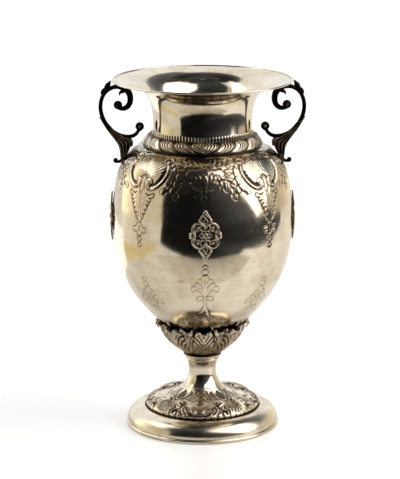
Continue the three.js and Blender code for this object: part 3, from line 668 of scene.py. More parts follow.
def ball(form, centre, radii, tone=0.0, rows=9, columns=14):
    """A squashed sphere: sines and cosines of two angles times its three radii."""
    a = np.linspace(0.12, math.pi - 0.12, rows)[:, None]
    b = TAU * np.arange(columns)[None, :] / columns
    unit = np.stack(np.broadcast_arrays(np.sin(a) * np.cos(b), np.sin(a) * np.sin(b), np.cos(a)), -1)
    form.rings(np.asarray(centre) + unit * np.asarray(radii), tone)


def cast_handle():
    """A C scroll with a spiral at either end, a ribbed acanthus fan, a curl and a two-pointed leaf."""
    wire_low, wire_high = span("lip_wire")
    shoulder = span("body_bowl")[1][2] - LAND_RISE
    out, wide = span("handle_right")[1][0] - SCROLL_HALF, wire_low[2] - HANDLE_DROP

    def at(inward, up):
        """A point of the scroll: shares of its width inwards and of its rise or fall."""
        return out - SCROLL_W * inward, wide + (SCROLL_RISE if up > 0 else SCROLL_FALL) * up

    eye, low_eye = np.array(at(0.584, 0.08)), np.array(at(1.308, -0.664))
    scroll = np.vstack([
        spiral(eye, 0.4, 2.5, 330, -95, 40),
        cubic(eye + (-0.2, -2.5), at(0.84, -0.16), at(1.03, 0.03), at(1, 0.443), 20)[1:],
        cubic(at(1, 0.443), at(0.992, 1.33), at(0.016, 1.34), at(0, 0), 40)[1:],
        cubic(at(0, 0), at(-0.008, -0.488), at(0.396, -1), at(0.936, -1), 40)[1:],
        cubic(at(0.936, -1), at(1.1, -1), at(1.2, -0.93), low_eye + (0.6, -2.7), 12)[1:],
        spiral(low_eye, 2.6, 0.4, -85, -500, 40)[1:],
    ])
    half = [0.7, 1.1, 1.5, 1.9, 2.5, 2.7, 2.2, 1.7, 1.65, 1.65,
            1.7, 1.75, 1.8, 1.7, 1.6, 1.55, 1.6, 1.5, 1.1, 0.7]
    depth = [3.4, 3.0, 2.5, 2.2, 2.2, 2.2, 2.1, 2.0, 2.0, 2.0,
             2.1, 2.2, 2.2, 2.1, 2.0, 2.0, 2.1, 2.4, 3.0, 3.4]
    form = Form()
    strip(form, scroll, half, depth, ribs=2, cut=0.16, rows=320, sides=26, tone=0.24)
    for centre in (eye, low_eye):
        ball(form, (centre[0], 0, centre[1]), (3.7, 3.0, 3.7), 0.5)
        ball(form, (centre[0], 0, centre[1]), (1.7, 4.0, 1.7), 0.15)

    foot_z = shoulder - HANDLE_FOOT_DROP
    foot_x = float(np.interp(foot_z, BOWL.line[:, 1], BOWL.line[:, 0])) - 1.2
    outer = spline([(out + 1.2, wide - 9), at(0.05, -0.52), at(0.2, -0.76), at(0.37, -0.98),
                    at(0.53, -1.2), at(0.62, -1.4), (foot_x + 2.6, foot_z + 5), (foot_x + 1.6, foot_z - 1.5)])
    inner = spline([(out - 1.6, wide - 9), at(0.24, -0.54), at(0.48, -0.80), at(0.78, -0.98),
                    at(1.02, -1.15), at(0.98, -1.38), (foot_x - 3.0, foot_z + 6),
                    (foot_x - 2.4, foot_z - 1.5)])
    ribbon(form, outer, inner, [1.6, 2.4, 3.8, 5.4, 6.3, 6.5, 5.6, 4.0, 2.6],
           ribs=4, cut=0.34, rows=90, sides=64)
    bud = spline([at(0.80, -1.06), at(0.94, -1.1), at(1.0, -1.2), at(1.02, -1.32)])
    strip(form, bud, [1.4, 2.0, 2.2, 1.2], [3.4, 4.6, 4.4, 2.4], ribs=2, cut=0.25, rows=24)
    curl = np.vstack([
        spline([(foot_x - 1.5, foot_z + 7), (foot_x + 0.6, foot_z + 2.6), (foot_x + 3.4, foot_z + 0.4)]),
        spiral((foot_x + 6.4, foot_z + 1.9), 2.0, 0.4, -140, 220, 26),
    ])
    strip(form, curl, [2.3, 1.9, 1.4, 1.0, 0.9, 0.5], [3.2, 2.8, 2.4, 2.2, 2.4, 2.6],
          ribs=1, cut=0.15, rows=60, tone=0.3)
    ball(form, (foot_x + 6.4, 0, foot_z + 1.9), (1.7, 2.6, 1.7), 0.3)

    tip = (CREST_REACH * out, wire_high[2] - CREST_DROP)
    crest = spline([at(0.10, 0.62), at(0.17, 0.88), at(0.24, 1.1), tip])
    strip(form, crest, [0.9, 1.9, 2.3, 0.35], [1.6, 2.8, 2.4, 0.8], ribs=2, cut=0.2, rows=30, tone=0.25)
    spur = spline([at(0.12, 0.5), at(0.06, 0.76), at(0.10, 0.98)])
    strip(form, spur, [0.6, 1.5, 0.3], [1.4, 2.0, 0.6], rows=20, tone=0.3)
    inner_leaf = spline([at(1.0, 0.86), at(0.82, 0.86), at(0.66, 0.74), at(0.64, 0.60)])
    strip(form, inner_leaf, [1.2, 2.0, 1.6, 0.4], [2.2, 2.6, 2.2, 0.8], ribs=2, cut=0.2, rows=30, tone=0.25)
    return form


def make_handles(finish):
    """Both handles: the left one is the right one with x reversed and its faces turned back."""
    right = cast_handle()
    left = right.moved(lambda points: points * (-1, 1, 1), mirrored=True)
    for side, form in (("right", right), ("left", left)):
        form.make(f"handle_{side}_cast", finish, [f"handle_{side}"], "oxidised_silver")


# Pierced mounts


def wire(form, path, radius, level, sides=8, closed=False):
    """A round wire along a flat path at a level above the bowl: a circle of points across the path."""
    path = np.asarray(path, float)
    side = across(np.vstack([path[-2:], path, path[:2]]))[2:-2] if closed else across(path)
    phi = TAU * np.arange(sides) / sides
    radius = np.broadcast_to(radius, len(path))[:, None]
    flat = path[:, None, :] + side[:, None, :] * (radius * np.cos(phi))[..., None]
    high = level + radius * np.sin(phi)
    # Painted shade: the wire darkens on its lower side towards the bowl, and only its top stays bright.
    shade = 0.9 * (1 - smooth(level - 0.4, level + 0.55, high))
    form.rings(np.concatenate([flat, high[..., None]], -1), shade, wrap_rows=closed)


def pierced_mount():
    """A four-lobed ring frame round a rosette, with scrolls in the lobes and a pointed spire above and
    below, drawn flat: x across, y up and z out of the bowl."""
    form = Form()
    for sx in (1, -1):
        for sy in (1, -1):
            turn = np.array([sx, sy])
            lobe = arc((5.3, 5.0), 5.2, -62, 172, 30) * turn
            wire(form, lobe, 0.8, 1.3)
            scroll = spiral((6.2, 5.9), 0.9, 3.0, 20, 400, 30) * turn
            wire(form, scroll, 0.5, 1.0, sides=6)
            ball(form, (8.6 * sx, 2.9 * sy, 1.3), (0.95, 0.95, 0.9), 0, 5, 8)
            ball(form, (6.2 * sx, 5.9 * sy, 1.2), (0.9, 0.9, 0.8), 0, 5, 8)
            wire(form, spline(np.array([(1.2, 3.6), (3.4, 4.6), (3.8, 7.0), (2.6, 9.0)]) * turn), 0.55, 1.1)
            spire = np.array([(2.9, 9.2), (4.4, 11.4), (3.9, 14.0), (2.2, 16.4), (1.6, 18.2), (0.15, 20.6)])
            wire(form, spline(spire * turn), np.linspace(0.8, 0.6, 31), 1.3)
            twist = np.array([(0.4, 9.4), (1.9, 11.6), (0.2, 13.9), (1.3, 15.9), (0.1, 18.0)])
            wire(form, spline(twist * turn), 0.5, 1.2, sides=6)
            ball(form, (4.6 * sx, 12.6 * sy, 1.2), (1.1, 1.4, 0.9), 0, 5, 8)
            ball(form, (2.8 * sx, 15.9 * sy, 1.2), (0.9, 1.0, 0.8), 0, 5, 8)
        for y in (1.5, -1.5):
            ball(form, (11.9 * sx, y, 1.3), (1.25, 1.35, 1.1), 0, 6, 10)
        ball(form, (12.6 * sx, 0, 1.2), (0.8, 0.9, 0.8), 0, 5, 8)
        wire(form, spline([(9.6 * sx, -3.2), (9.2 * sx, 0), (9.6 * sx, 3.2)]), 0.6, 1.1)
    for k in range(6):
        petal = arc((3.35 * math.cos(k * TAU / 6), 3.35 * math.sin(k * TAU / 6)), 1.45, 0, 337.5, 15)
        wire(form, petal, 0.45, 1.3, sides=6, closed=True)
    wire(form, arc((0, 0), 1.55, 0, 340, 17), 0.6, 1.9, closed=True)
    ball(form, (0, 0, 1.4), (0.7, 0.7, 0.9), 0.3, 5, 8)
    return form


def on_bowl(points):
    """Bends flat points onto the bowl's front: x goes round it, y up it and z out along its normal."""
    run = BELT_RUN + APPLIQUE_RISE + points[:, 1]
    base, normal = BOWL.at(run), BOWL.normal(run)
    angle = points[:, 0] / base[:, 0]
    radius = base[:, 0] + normal[:, 0] * points[:, 2]
    height = base[:, 1] + normal[:, 1] * points[:, 2]
    return np.stack([radius * np.sin(angle), -radius * np.cos(angle), height], -1)


def make_appliques(finish, dim):
    """Four pierced mounts at the belt line, a quarter turn apart. The two below the handles take a darker
    copy of the finish, painted shade.
    """
    flat = pierced_mount()
    for k, side in enumerate(("front", "right", "back", "left")):
        bent = flat.moved(lambda points: polar(on_bowl(points), k * TAU / 4))
        # The side mounts take the darker copy: painted shade.
        metal = finish if k % 2 == 0 else dim
        bent.make(f"applique_{side}_pierced", metal, [f"applique_{side}"], "silver_mounts")


# Calyx, stem and foot


def calyx_leaf(line, width, sink, ribs, rows=72, columns=57):
    """An acanthus leaf wrapped round the axis: the outline gives its length and rolled tip, the width
    function its lobed edges, the sink function how far its tip dips. Veins spring from the middle rib
    and bend out to the edges, at even steps of the distance from the outer corner of the foot."""
    v = np.linspace(0, 1, rows)[:, None]
    u = np.linspace(-1, 1, columns)[None, :]
    runs = v[:, 0] * line.length
    base, normal = line.at(runs), line.normal(runs, 0.5)
    side = np.abs(u)
    wave = np.abs(np.cos(math.pi * ribs * np.hypot(1 - side, 1.45 * v)))
    fade = smooth(0.01, 0.06, v) * (1 - smooth(0.80, 0.88, v))
    rib = np.exp(-((u / 0.09) ** 2))
    lift = fade * ((1.3 * wave**0.8 - 0.8) * (1 - rib) + 0.5 * rib) + 0.9 * (1 - side**2) * fade
    lift = lift - 3.4 * side**6 * smooth(0.0, 0.15, v) * (1 - smooth(0.8, 0.92, v))
    crest = np.exp(-(((v - 0.92) / 0.06) ** 2))
    vein = (1 - wave) ** 0.8 * (1 - rib)
    # Tone: the veins are dark as oxide; the edges and the foot of the leaf get painted shadow for the gaps
    # between leaves, cleared at the rolled rim.
    tone = fade * (0.04 + 0.95 * vein) + 1.4 * smooth(0.84, 0.93, side) * (1 - smooth(0.78, 0.86, v))
    tone = np.clip(tone + 0.3 * (1 - smooth(0.0, 0.10, v)) - 0.9 * crest, 0, 1)
    dip = sink(side) * smooth(0.60, 0.9, v)
    reach = base[:, :1] + normal[:, :1] * lift - 0.62 * dip
    height = base[:, 1:] + normal[:, 1:] * lift - 0.78 * dip
    edge = 1 + 0.06 * (np.abs(np.cos(math.pi * ribs * 1.45 * v)) - 0.5)
    angle = u * width(v) * edge / np.maximum(reach.mean(axis=1, keepdims=True), 12)
    back_r, back_z = reach - normal[:, :1] * LEAF_WALL, height - normal[:, 1:] * LEAF_WALL
    face = np.stack([reach * np.sin(angle), -reach * np.cos(angle), height], -1)
    back = np.stack([back_r * np.sin(angle), -back_r * np.cos(angle), back_z], -1)[:, ::-1]
    # The back of the leaf is painted shade, lightened near the rolled tip where it shows.
    painted_back_shade = 0.75 - 0.65 * smooth(0.80, 0.88, v)
    shade = np.concatenate([tone, np.broadcast_to(painted_back_shade, tone.shape)], 1)
    return np.concatenate([face, back], 1), shade


def leaf_line(depth, roll, turn, longer=0.0):
    """The leaf's length: the calyx line, set in by a depth, then a tip that rolls outwards."""
    low = span("calyx_leaf_1")[0]
    foot = (LEAF_FOOT_R, low[2] + 0.4)
    tip = (LEAF_TIP_R + 0.5 * longer, foot[1] + LEAF_RISE + longer)
    line = cubic(foot, within(foot, tip, 0.815, 0.49), within(foot, tip, 0.635, 0.555), tip, 120)
    line = line + across(line) * depth
    step = line[-1] - line[-3]
    heading = math.degrees(math.atan2(step[1], step[0]))
    aside = math.radians(heading - 90)
    eye = line[-1] + roll * np.array([math.cos(aside), math.sin(aside)])
    curl = spiral(eye, roll, roll * 0.6, heading + 90, heading + 90 - turn, 40)
    return Outline(line, curl[1:])


def leaf_half(v):
    """Half width of a large leaf: broad at the foot, widest at half length, drawn in at the tip."""
    return np.interp(v, [0, 0.2, 0.5, 0.75, 0.88, 1], [7.6, 8.9, 10.2, 9.8, 8.4, 6.8])


def sepal_half(v):
    """Half width of a small leaf: a strap that widens to its tip."""
    return np.interp(v, [0, 0.5, 0.8, 0.92, 1], [3.4, 4.2, 5.2, 5.8, 5.0])


def leaf_sink(side):
    """Dip of a large leaf's tip: low in the middle, two peaks, and falling off to the corners."""
    return 3.6 * (0.5 + 0.5 * np.cos(TAU * np.minimum(0.8 * side, 0.5))) + 3.6 * smooth(0.70, 1, side)


def sepal_sink(side):
    """Dip of a small leaf's tip: a notch between two points."""
    return 5.0 * (1 - np.minimum(side / 0.85, 1)) ** 0.8


def make_calyx(finish, count=8):
    """Eight large leaves, eight small ones behind them, and the dish that carries them."""
    kinds = [
        ("calyx_leaf", leaf_line(-0.2, 1.0, 190), leaf_half, leaf_sink, 0.0, 5.0),
        ("calyx_sepal", leaf_line(LEAF_LAYER - 0.5, 0.9, 190, 0.6), sepal_half, sepal_sink, 0.5, 4.0),
    ]
    for name, line, width, sink, offset, ribs in kinds:
        grid, tone = calyx_leaf(line, width, sink, ribs)
        for k in range(count):
            form = Form()
            form.rings(polar(grid, (k + offset) * TAU / count), tone)
            form.make(f"{name}_{k + 1}_cast", finish, [f"{name}_{k + 1}"], "silver_mounts")
    low, high = span("calyx_cup")
    line = leaf_line(2 * LEAF_LAYER, 1.0, 10)
    outer = line.line[line.line[:, 1] < high[2] - 0.2][::8]
    seat, up = BOWL.line[0][1], BOWL.line[:, 1]
    hollow = BOWL.line[(up > seat + 0.5) & (up < high[2] - 0.4)][::14]
    loop = np.vstack([[(DISH_BORE_R, low[2]), (outer[0][0] - 1.2, low[2])], outer,
                      (hollow - (-0.35, 0.35))[::-1], [(PIP_R + 0.6, seat - 0.2), (DISH_BORE_R, seat - 0.2)]])
    # The dish is darkened all over as painted shade, seen through the gaps between the leaves.
    turned_loop(loop, 192, 0.8).make("calyx_dish", finish, ["calyx_cup"], "silver_mounts")


def make_stem(finish, bright, columns=256):
    """The waisted stem and the beaded collar over it, turned from smooth outlines."""
    low, high = span("stem")
    collar_low, collar_high = span("stem_collar")
    foot, tall = high[0], high[2] - low[2] - SPIGOT_H
    base = high[2] - tall
    side = cubic((foot, base), (foot - STEM_WAIST, base + tall * 0.21),
                 (STEM_TOP_R - STEM_WAIST, high[2] - tall * 0.55), (STEM_TOP_R, high[2]), 60)
    spigot = [(BORE_R, base - SPIGOT_H), (SPIGOT_R, base - SPIGOT_H), (SPIGOT_R, base)]
    loop = np.vstack([spigot, side, [(BORE_R, high[2])]])
    turned_loop(loop, columns).make("stem_turned", bright, ["stem"], "silver_sheet")
    full, bottom, top = collar_high[0], collar_low[2], collar_high[2]
    rise = top - bottom
    bead = cubic((full - 2.4, bottom + rise * 0.42), (full + 0.5, bottom + rise * 0.42),
                 (full + 0.6, top - 0.9), (full - 1.6, top - 0.35), 24)
    bead[:, 0] = np.minimum(bead[:, 0], full)
    lower = arc((full - 2.9, bottom + rise * 0.17), rise * 0.15, -80, 80, 12)
    loop = np.vstack([[(BORE_R, bottom), (full - 3.4, bottom)], lower, [(full - 2.7, bottom + rise * 0.36)],
                      bead, [(full - 3.0, top - 0.3), (BORE_R, top)]])
    shade = np.zeros((len(loop), 1))
    shade[-14:] = 1.0  # the upper half of the bead and the seat, in the shade of the leaves
    turned_loop(loop, columns, shade).make("stem_collar_beaded", finish, ["stem_collar"], "silver_mounts")


# Half of the scalloped line between two panels, as degrees from a panel's middle and runs up the mound
MOUND_EDGE = [(0, 2.6), (5, 2.6), (9, 3.4), (12.6, 5.4), (15.2, 8.6), (16.2, 11.8), (18.4, 12.9), (22, 13.7),
              (23.4, 17.2), (26.2, 19.6), (31.8, 20.8), (36.4, 20.1), (39, 18.2), (41.4, 17.4), (45, 18.0)]
MOUND_ACANTHUS = [(12.6, 3.0), (13.0, 6.0), (14.6, 8.8), (15.0, 11.4), (12.8, 14.6), (9.6, 16.4)]
MOUND_SCROLLS = [
    [(21.4, 11.6), (22.6, 8.4), (26.2, 5.2), (27.0, 2.4)], [(15.0, 2.0), (17.8, 5.4), (21.6, 6.2)],
    [(20.6, 2.0), (20.0, 4.6), (22.8, 6.0), (24.8, 3.8)],
]
CREST_LEAF = [
    [(0, 34.4), (1.8, 31.6), (3.0, 28.0), (2.2, 24.6), (0.4, 23.0)], [(0.2, 32.4), (0.2, 24.0)],
    [(0.4, 25.0), (2.2, 28.0)], [(0.4, 28.0), (2.4, 31.0)],
]
CREST_CURLS = [
    [(8.4, 23.6), (10.6, 25.0), (11.6, 27.8), (10.4, 30.4)], [(12.2, 22.6), (14.2, 24.6), (14.4, 27.2)],
    [(16.4, 20.8), (18.6, 22.8), (19.4, 25.4)], [(10.4, 31.6), (12.0, 33.0)],
]


def make_mound(finish, columns, turn, strength):
    """The domed middle of the foot: four shell cartouches stand up below a scalloped dark outline,
    with smooth panels between them and a crest leaf over each."""
    low, high = span("foot_mound")
    edge, crown = (high[0], low[2] + MOUND_LIP), (MOUND_CROWN_R, high[2])
    line = Outline(
        [(high[0], low[2])],
        cubic(edge, within(edge, crown, 0.14, 0.54), within(edge, crown, 0.76, 0.36), crown, 300),
    )
    runs = np.r_[0, np.linspace(MOUND_LIP, 36, 86), np.linspace(36.6, line.length, 5)]
    work, corner = eighth(line, runs, columns, MOUND_LIP)
    up, degrees_round = work.y, np.degrees(work.x / line.at(runs)[:, :1])

    def lay(points):
        """Degrees round from the panel's middle become millimetres at the height that they are at."""
        turned_by, run = np.asarray(points, float).T
        return np.stack([np.radians(turned_by) * line.at(run + MOUND_LIP)[:, 0], run], 1)

    brink = lay(spline(MOUND_EDGE, 5))
    under = smooth(-0.3, 1.0, np.interp(degrees_round, *spline(MOUND_EDGE, 5).T) - up)
    notch = np.abs(np.sin(corner.x * 0.55 + 0.4)) ** 0.6
    work.lift += 0.9 * under * smooth(0.2, 1.4 + 1.2 * (1 - notch), up)
    work.dome((0, 17), (11, 12), 0.6)
    corner.dome((0, 11), (15.5, 11), 1.1)
    shell = corner.seen_from(corner.x, 18.0 - corner.y)
    shell.fan((0, 0), 2.4, 16.4, -74, 74, 13, 1.1, 1.2)
    corner.groove(arc((0, 18.4), 2.2, -70, 90), 0.6, 0.6, 1.2)
    strokes(corner, [MOUND_ACANTHUS], width=0.75, depth=0.8, tone=1.4)
    work.groove(brink, 0.62, 0.8, 1.5)
    work.roll(brink + across(brink), 0.8, 0.55, 0.0)
    work.groove(brink + across(brink) * 2.1, 0.45, 0.4, 1.0)
    work.roll(spiral((5.6, 6.2), 0.6, 3.6, -560, -10, 44), 0.8, 0.8, 1.3)
    work.groove(arc((10.2, 7.6), 4.2, -75, 60, 16), 0.6, 0.6, 1.3)
    work.fan((18.0, 1.4), 1.0, 8.6, -70, 40, 7, 0.9, 1.1)
    strokes(work, MOUND_SCROLLS, width=0.6, depth=0.7, tone=1.3)
    work.fan((5.2, 7.0), 4.8, 9.6, -56, 56, 9, 0.35, 0.7)
    corner.dome((0, 28), (3.4, 5.6), 0.6)
    strokes(corner, CREST_LEAF, width=0.5, depth=0.5, tone=1.2)
    rope = spline([(3.4, 23.6), (5.4, 25.6), (6.8, 28.4), (7.0, 31.4), (6.0, 34.4)])
    corner.groove(rope, 0.5, 0.4, 1.0)
    for x, y in rope[2::3]:
        corner.groove([(x, y), (x + 2.2, y - 1.2)], 0.45, 0.45, 1.1)
    strokes(corner, CREST_CURLS, width=0.55, depth=0.45, tone=1.1)
    matting = np.sin(2.1 * work.x + 1.7 * np.sin(0.9 * up)) * np.sin(2.3 * up + 1.3 * np.sin(1.1 * work.x))
    grounded = (1 - smooth(28, 35, up)) * smooth(10, 15, degrees_round + 0.35 * up)
    work.lift += 0.10 * matting * grounded
    work.dark = np.maximum(work.dark, 0.15 * smooth(0.1, 0.9, -matting) * grounded)
    # Painted shade: a dark band round the foot of the mound where it meets the flange, higher in the notches
    # under the lobes.
    foot_shade = 1.2 * (1 - smooth(0.1, 0.6 + 2.2 * (1 - notch), up))
    work.dark = np.maximum(work.dark, foot_shade)
    fade = 1 - smooth(33.0, 36.0, up)
    places = fold(columns, 4)
    lift, tone = (work.lift * fade * strength)[:, places], np.clip(work.dark * fade, 0, 1)[:, places]
    outer = turned(line, runs, columns, lift, turn)
    inner_runs = np.linspace(line.length, 0.2, 14)
    inner = turned(line, inner_runs, columns, -SHEET, turn)
    hole = np.stack([turn_rings(MOUND_HOLE_R, z, columns, turn) for z in (high[2], high[2] - SHEET)])
    form = Form()
    tones = np.concatenate([tone, np.zeros((2, columns)), np.full((len(inner_runs), columns), 0.4)])
    form.rings(np.concatenate([outer, hole, inner]), tones, wrap_rows=True)
    form.make("mound_chased", finish, ["foot_mound"], "silver_sheet")


def make_foot(finish, columns=320):
    """The hollow cushion moulding of the foot and the half-round wire under its edge."""
    low, high = span("foot_flange")
    mound = span("foot_mound")
    groove, land = mound[1][0], mound[0][2]
    edge, crown = (high[0], low[2] + SHEET), (groove + 1.5, high[2])

    def cushion(steps):
        """The moulding's curve from its edge up to its crown."""
        return cubic(edge, within(edge, crown, 0, 0.57), within(edge, crown, 0.49, 1), crown, steps)

    loop = np.vstack([
        [(high[0], low[2])],
        cushion(60),
        spline([(crown[0] - 0.3, crown[1]), (groove + 0.75, crown[1] - 0.3), (groove + 0.5, land)], 5),
        [(groove - FOOT_LAND, land), (groove - FOOT_LAND, land - SHEET)],
        [(groove - 0.6, land - SHEET), (groove + 0.6, land - 0.4)],
        (cushion(40) - (SHEET, SHEET))[::-1],
        [(high[0] - SHEET, low[2])],
    ])
    turned_loop(loop, columns).make("flange_spun", finish, ["foot_flange"], "silver_sheet")
    low, high = span("foot_rim_wire")
    tall = high[2] - low[2]
    side = arc((high[0] - tall / 2, tall / 2), tall / 2, -68, 68, 16)
    side[:, 0] = np.minimum(side[:, 0] + 0.1, high[0])
    side[0, 1], side[-1, 1] = low[2], high[2]
    loop = np.vstack([[(high[0] - FOOT_WIRE_W, low[2])], side, [(high[0] - FOOT_WIRE_W, high[2])]])
    turned_loop(loop, columns, 0.1).make("foot_wire_drawn", finish, ["foot_rim_wire"], "silver_sheet")


# Finishes


class Value:
    """A shader socket that can be used in sums and products."""

    def __init__(self, paint, socket):
        self.paint, self.socket = paint, socket

    def __add__(self, other):
        return self.paint.maths("ADD", self, other)

    def __sub__(self, other):
        return self.paint.maths("SUBTRACT", self, other)

    def __rsub__(self, other):
        return self.paint.maths("SUBTRACT", other, self)

    def __mul__(self, other):
        return self.paint.maths("MULTIPLY", self, other)

    __radd__ = __add__
    __rmul__ = __mul__


class Paint:
    """The node tree of one material or world."""

    def __init__(self, owner):
        owner.use_nodes = True
        self.owner, self.tree = owner, owner.node_tree
        self.tree.nodes.clear()

    def node(self, kind, inputs, **settings):
        """Makes a node: its settings first, then each socket's value or link."""
        made = self.tree.nodes.new(kind)
        for key, value in settings.items():
            setattr(made, key, value)
        for key, value in inputs.items():
            value = value.socket if isinstance(value, Value) else value
            if isinstance(value, bpy.types.NodeSocket):
                self.tree.links.new(value, made.inputs[key])
            else:
                made.inputs[key].default_value = value
        return made

    def maths(self, operation, first, second, **settings):
        """One Math node as a value."""
        made = self.node("ShaderNodeMath", {0: first, 1: second}, operation=operation, **settings)
        return Value(self, made.outputs[0])

    def place(self):
        """The point in the object's own space."""
        return self.node("ShaderNodeTexCoord", {}).outputs["Object"]

    def stretched(self, scale):
        """The point in the object's own space, scaled along each axis."""
        made = self.node("ShaderNodeMapping", {"Vector": self.place(), "Scale": scale})
        return made.outputs["Vector"]

    def noise(self, place, scale, detail, rough):
        """Cloudy noise from 0 to 1."""
        made = self.node("ShaderNodeTexNoise", {"Vector": place, "Scale": scale, "Detail": detail,
                                                "Roughness": rough})
        return Value(self, made.outputs["Fac"])

    def ramp(self, value, low, high):
        """A smooth step of a value, from 0 at the low level to 1 at the high one."""
        made = self.node("ShaderNodeMapRange", {"Value": value, "From Min": low, "From Max": high},
                         interpolation_type="SMOOTHSTEP")
        return Value(self, made.outputs["Result"])

    def stored(self, name):
        """A value stored on the mesh."""
        return Value(self, self.node("ShaderNodeAttribute", {}, attribute_name=name).outputs["Fac"])

    def mix(self, amount, first, second):
        """Two colours mixed by an amount."""
        made = self.node("ShaderNodeMix", {"Factor": amount, "A": first, "B": second}, data_type="RGBA")
        return made.outputs["Result"]

    def finish(self, colour, rough, bump, height, rim=(1, 1, 1)):
        """Joins the metal to the output and gives back the material. The rim is its colour edge on."""
        grain = self.node("ShaderNodeBump", {"Height": bump, "Distance": height, "Strength": 1.0})
        shader = self.node("ShaderNodeBsdfPrincipled", {
            "Base Color": colour, "Roughness": rough, "Metallic": 1.0, "Specular Tint": rgb(rim),
            "Normal": grain.outputs["Normal"],
        })
        self.node("ShaderNodeOutputMaterial", {"Surface": shader.outputs["BSDF"]})
        return self.owner


def new_paint(name):
    """The node tree of a new material."""
    return Paint(bpy.data.materials.new(name))


def rgb(colour):
    """A colour with full alpha."""
    return (*colour[:3], 1.0)


WEAR_HEIGHT = 0.00002  # metres of grain that one part of wear adds


def silver(name, look, rough, oxide, wear=0.0, turned_lines=True, bands=()):
    """Polished silver: warm clouds of tarnish, small dark specks, fine turning lines, and oxide left in the
    hollows of the ornament. Those values also carry painted shade, and bands darken it by height."""
    paint = new_paint(name)
    place = paint.place()
    cloud = paint.noise(place, 16.0, 5.0, 0.55)
    mottle = paint.noise(place, 62.0, 6.0, 0.66)
    fleck = paint.noise(place, 480.0, 2.0, 0.6)
    smear = paint.noise(paint.stretched((24, 24, 210)), 1.0, 4.0, 0.6)
    speck = paint.ramp(fleck, 0.66, 0.74) * paint.ramp(mottle, 0.50, 0.64)
    spot = paint.ramp(paint.noise(place, 150.0, 3.0, 0.7), 0.62, 0.72) * paint.ramp(cloud, 0.46, 0.60)
    hollow = paint.stored("hollow")
    film = paint.ramp(mottle, 0.40, 0.66) * 0.45 + paint.ramp(cloud, 0.36, 0.68) * 0.30
    film = film + paint.ramp(smear, 0.45, 0.7) * 0.2
    warm = paint.mix(film * look.patina_and_shade, rgb(look.silver_colour), rgb(look.tarnish_colour))
    worn = paint.mix((speck * 0.55 + spot * 0.30) * look.patina_and_shade, warm, rgb(look.oxide_and_shade_colour))
    height = Value(paint, paint.node("ShaderNodeSeparateXYZ", {"Vector": place}).outputs["Z"])
    # Bands of darkening by height with the stain colour; on the bowl the low ones are painted shadow.
    for start, full, most in bands:
        stain = paint.ramp(height, start, full) * most * (0.35 + paint.ramp(mottle, 0.35, 0.65))
        worn = paint.mix(stain * look.patina_and_shade, worn, rgb(look.stain_and_shade_colour))
    # Hollow values darken towards the stain and oxide colours: oxide in the chased work, painted shade where
    # a mesh carries it.
    dark = paint.ramp(hollow, 0.08, 0.62) * oxide
    deep = paint.ramp(hollow, 0.62, 1.0) * oxide
    colour = paint.mix(deep, paint.mix(dark, worn, rgb(look.stain_and_shade_colour)), rgb(look.oxide_and_shade_colour))
    level = rough + 0.06 * paint.ramp(mottle, 0.4, 0.7) + 0.22 * dark + 0.25 * speck + 0.12 * spot
    lines = paint.noise(paint.stretched((30, 30, 1500)), 1.0, 2.0, 0.6)
    grain = lines * 0.5 if turned_lines else paint.noise(place, 700.0, 3.0, 0.6)
    return paint.finish(colour, level, grain, look.grain_height + wear * WEAR_HEIGHT)


def dark_silver(name, look):
    """Brown-black oxidised cast silver, rubbed through on its ribs and faintly mottled."""
    paint = new_paint(name)
    place = paint.place()
    cloud = paint.noise(place, 60.0, 5.0, 0.6)
    fine = paint.noise(place, 420.0, 3.0, 0.6)
    ridge = (1 - paint.ramp(paint.stored("hollow"), 0.02, 0.30)) * paint.ramp(cloud, 0.38, 0.58)
    colour = paint.mix(ridge * 0.9, rgb(look.black_colour), rgb(look.rubbed_colour))
    level = 0.16 + 0.20 * cloud + 0.1 * fine
    return paint.finish(colour, level, fine, 0.00006, look.rim_colour)


def brass(name, look):
    """Dull turned brass with fine rings and darker smears."""
    paint = new_paint(name)
    cloud = paint.noise(paint.place(), 90.0, 4.0, 0.6)
    lines = paint.noise(paint.stretched((60, 60, 2600)), 1.0, 2.0, 0.5)
    colour = paint.mix(paint.ramp(cloud, 0.4, 0.7) * 0.6, rgb(look.brass_colour), rgb(look.smear_colour))
    return paint.finish(colour, 0.32 + 0.2 * cloud, lines, 0.00004)


# Stage


# In metres: the middle of the vase above the floor, which the boards stand round, and the floor's radius
EYE_RISE = 0.17
FLOOR_R = 4.0
# The soft lamp in metres: its width, its place and the point that it faces
LAMP_SIZE = 0.9
LAMP_PLACE = (1.45, -0.30, 1.25)
LAMP_AIM = (0, 0, 0.1)


def glow(name, colour, strength):
    """A surface that shines by itself, as strongly as its level says."""
    paint = new_paint(name)
    level = paint.stored("level") * strength
    shine = paint.node("ShaderNodeEmission", {"Color": rgb(colour), "Strength": level})
    paint.node("ShaderNodeOutputMaterial", {"Surface": shine.outputs["Emission"]})
    return paint.owner


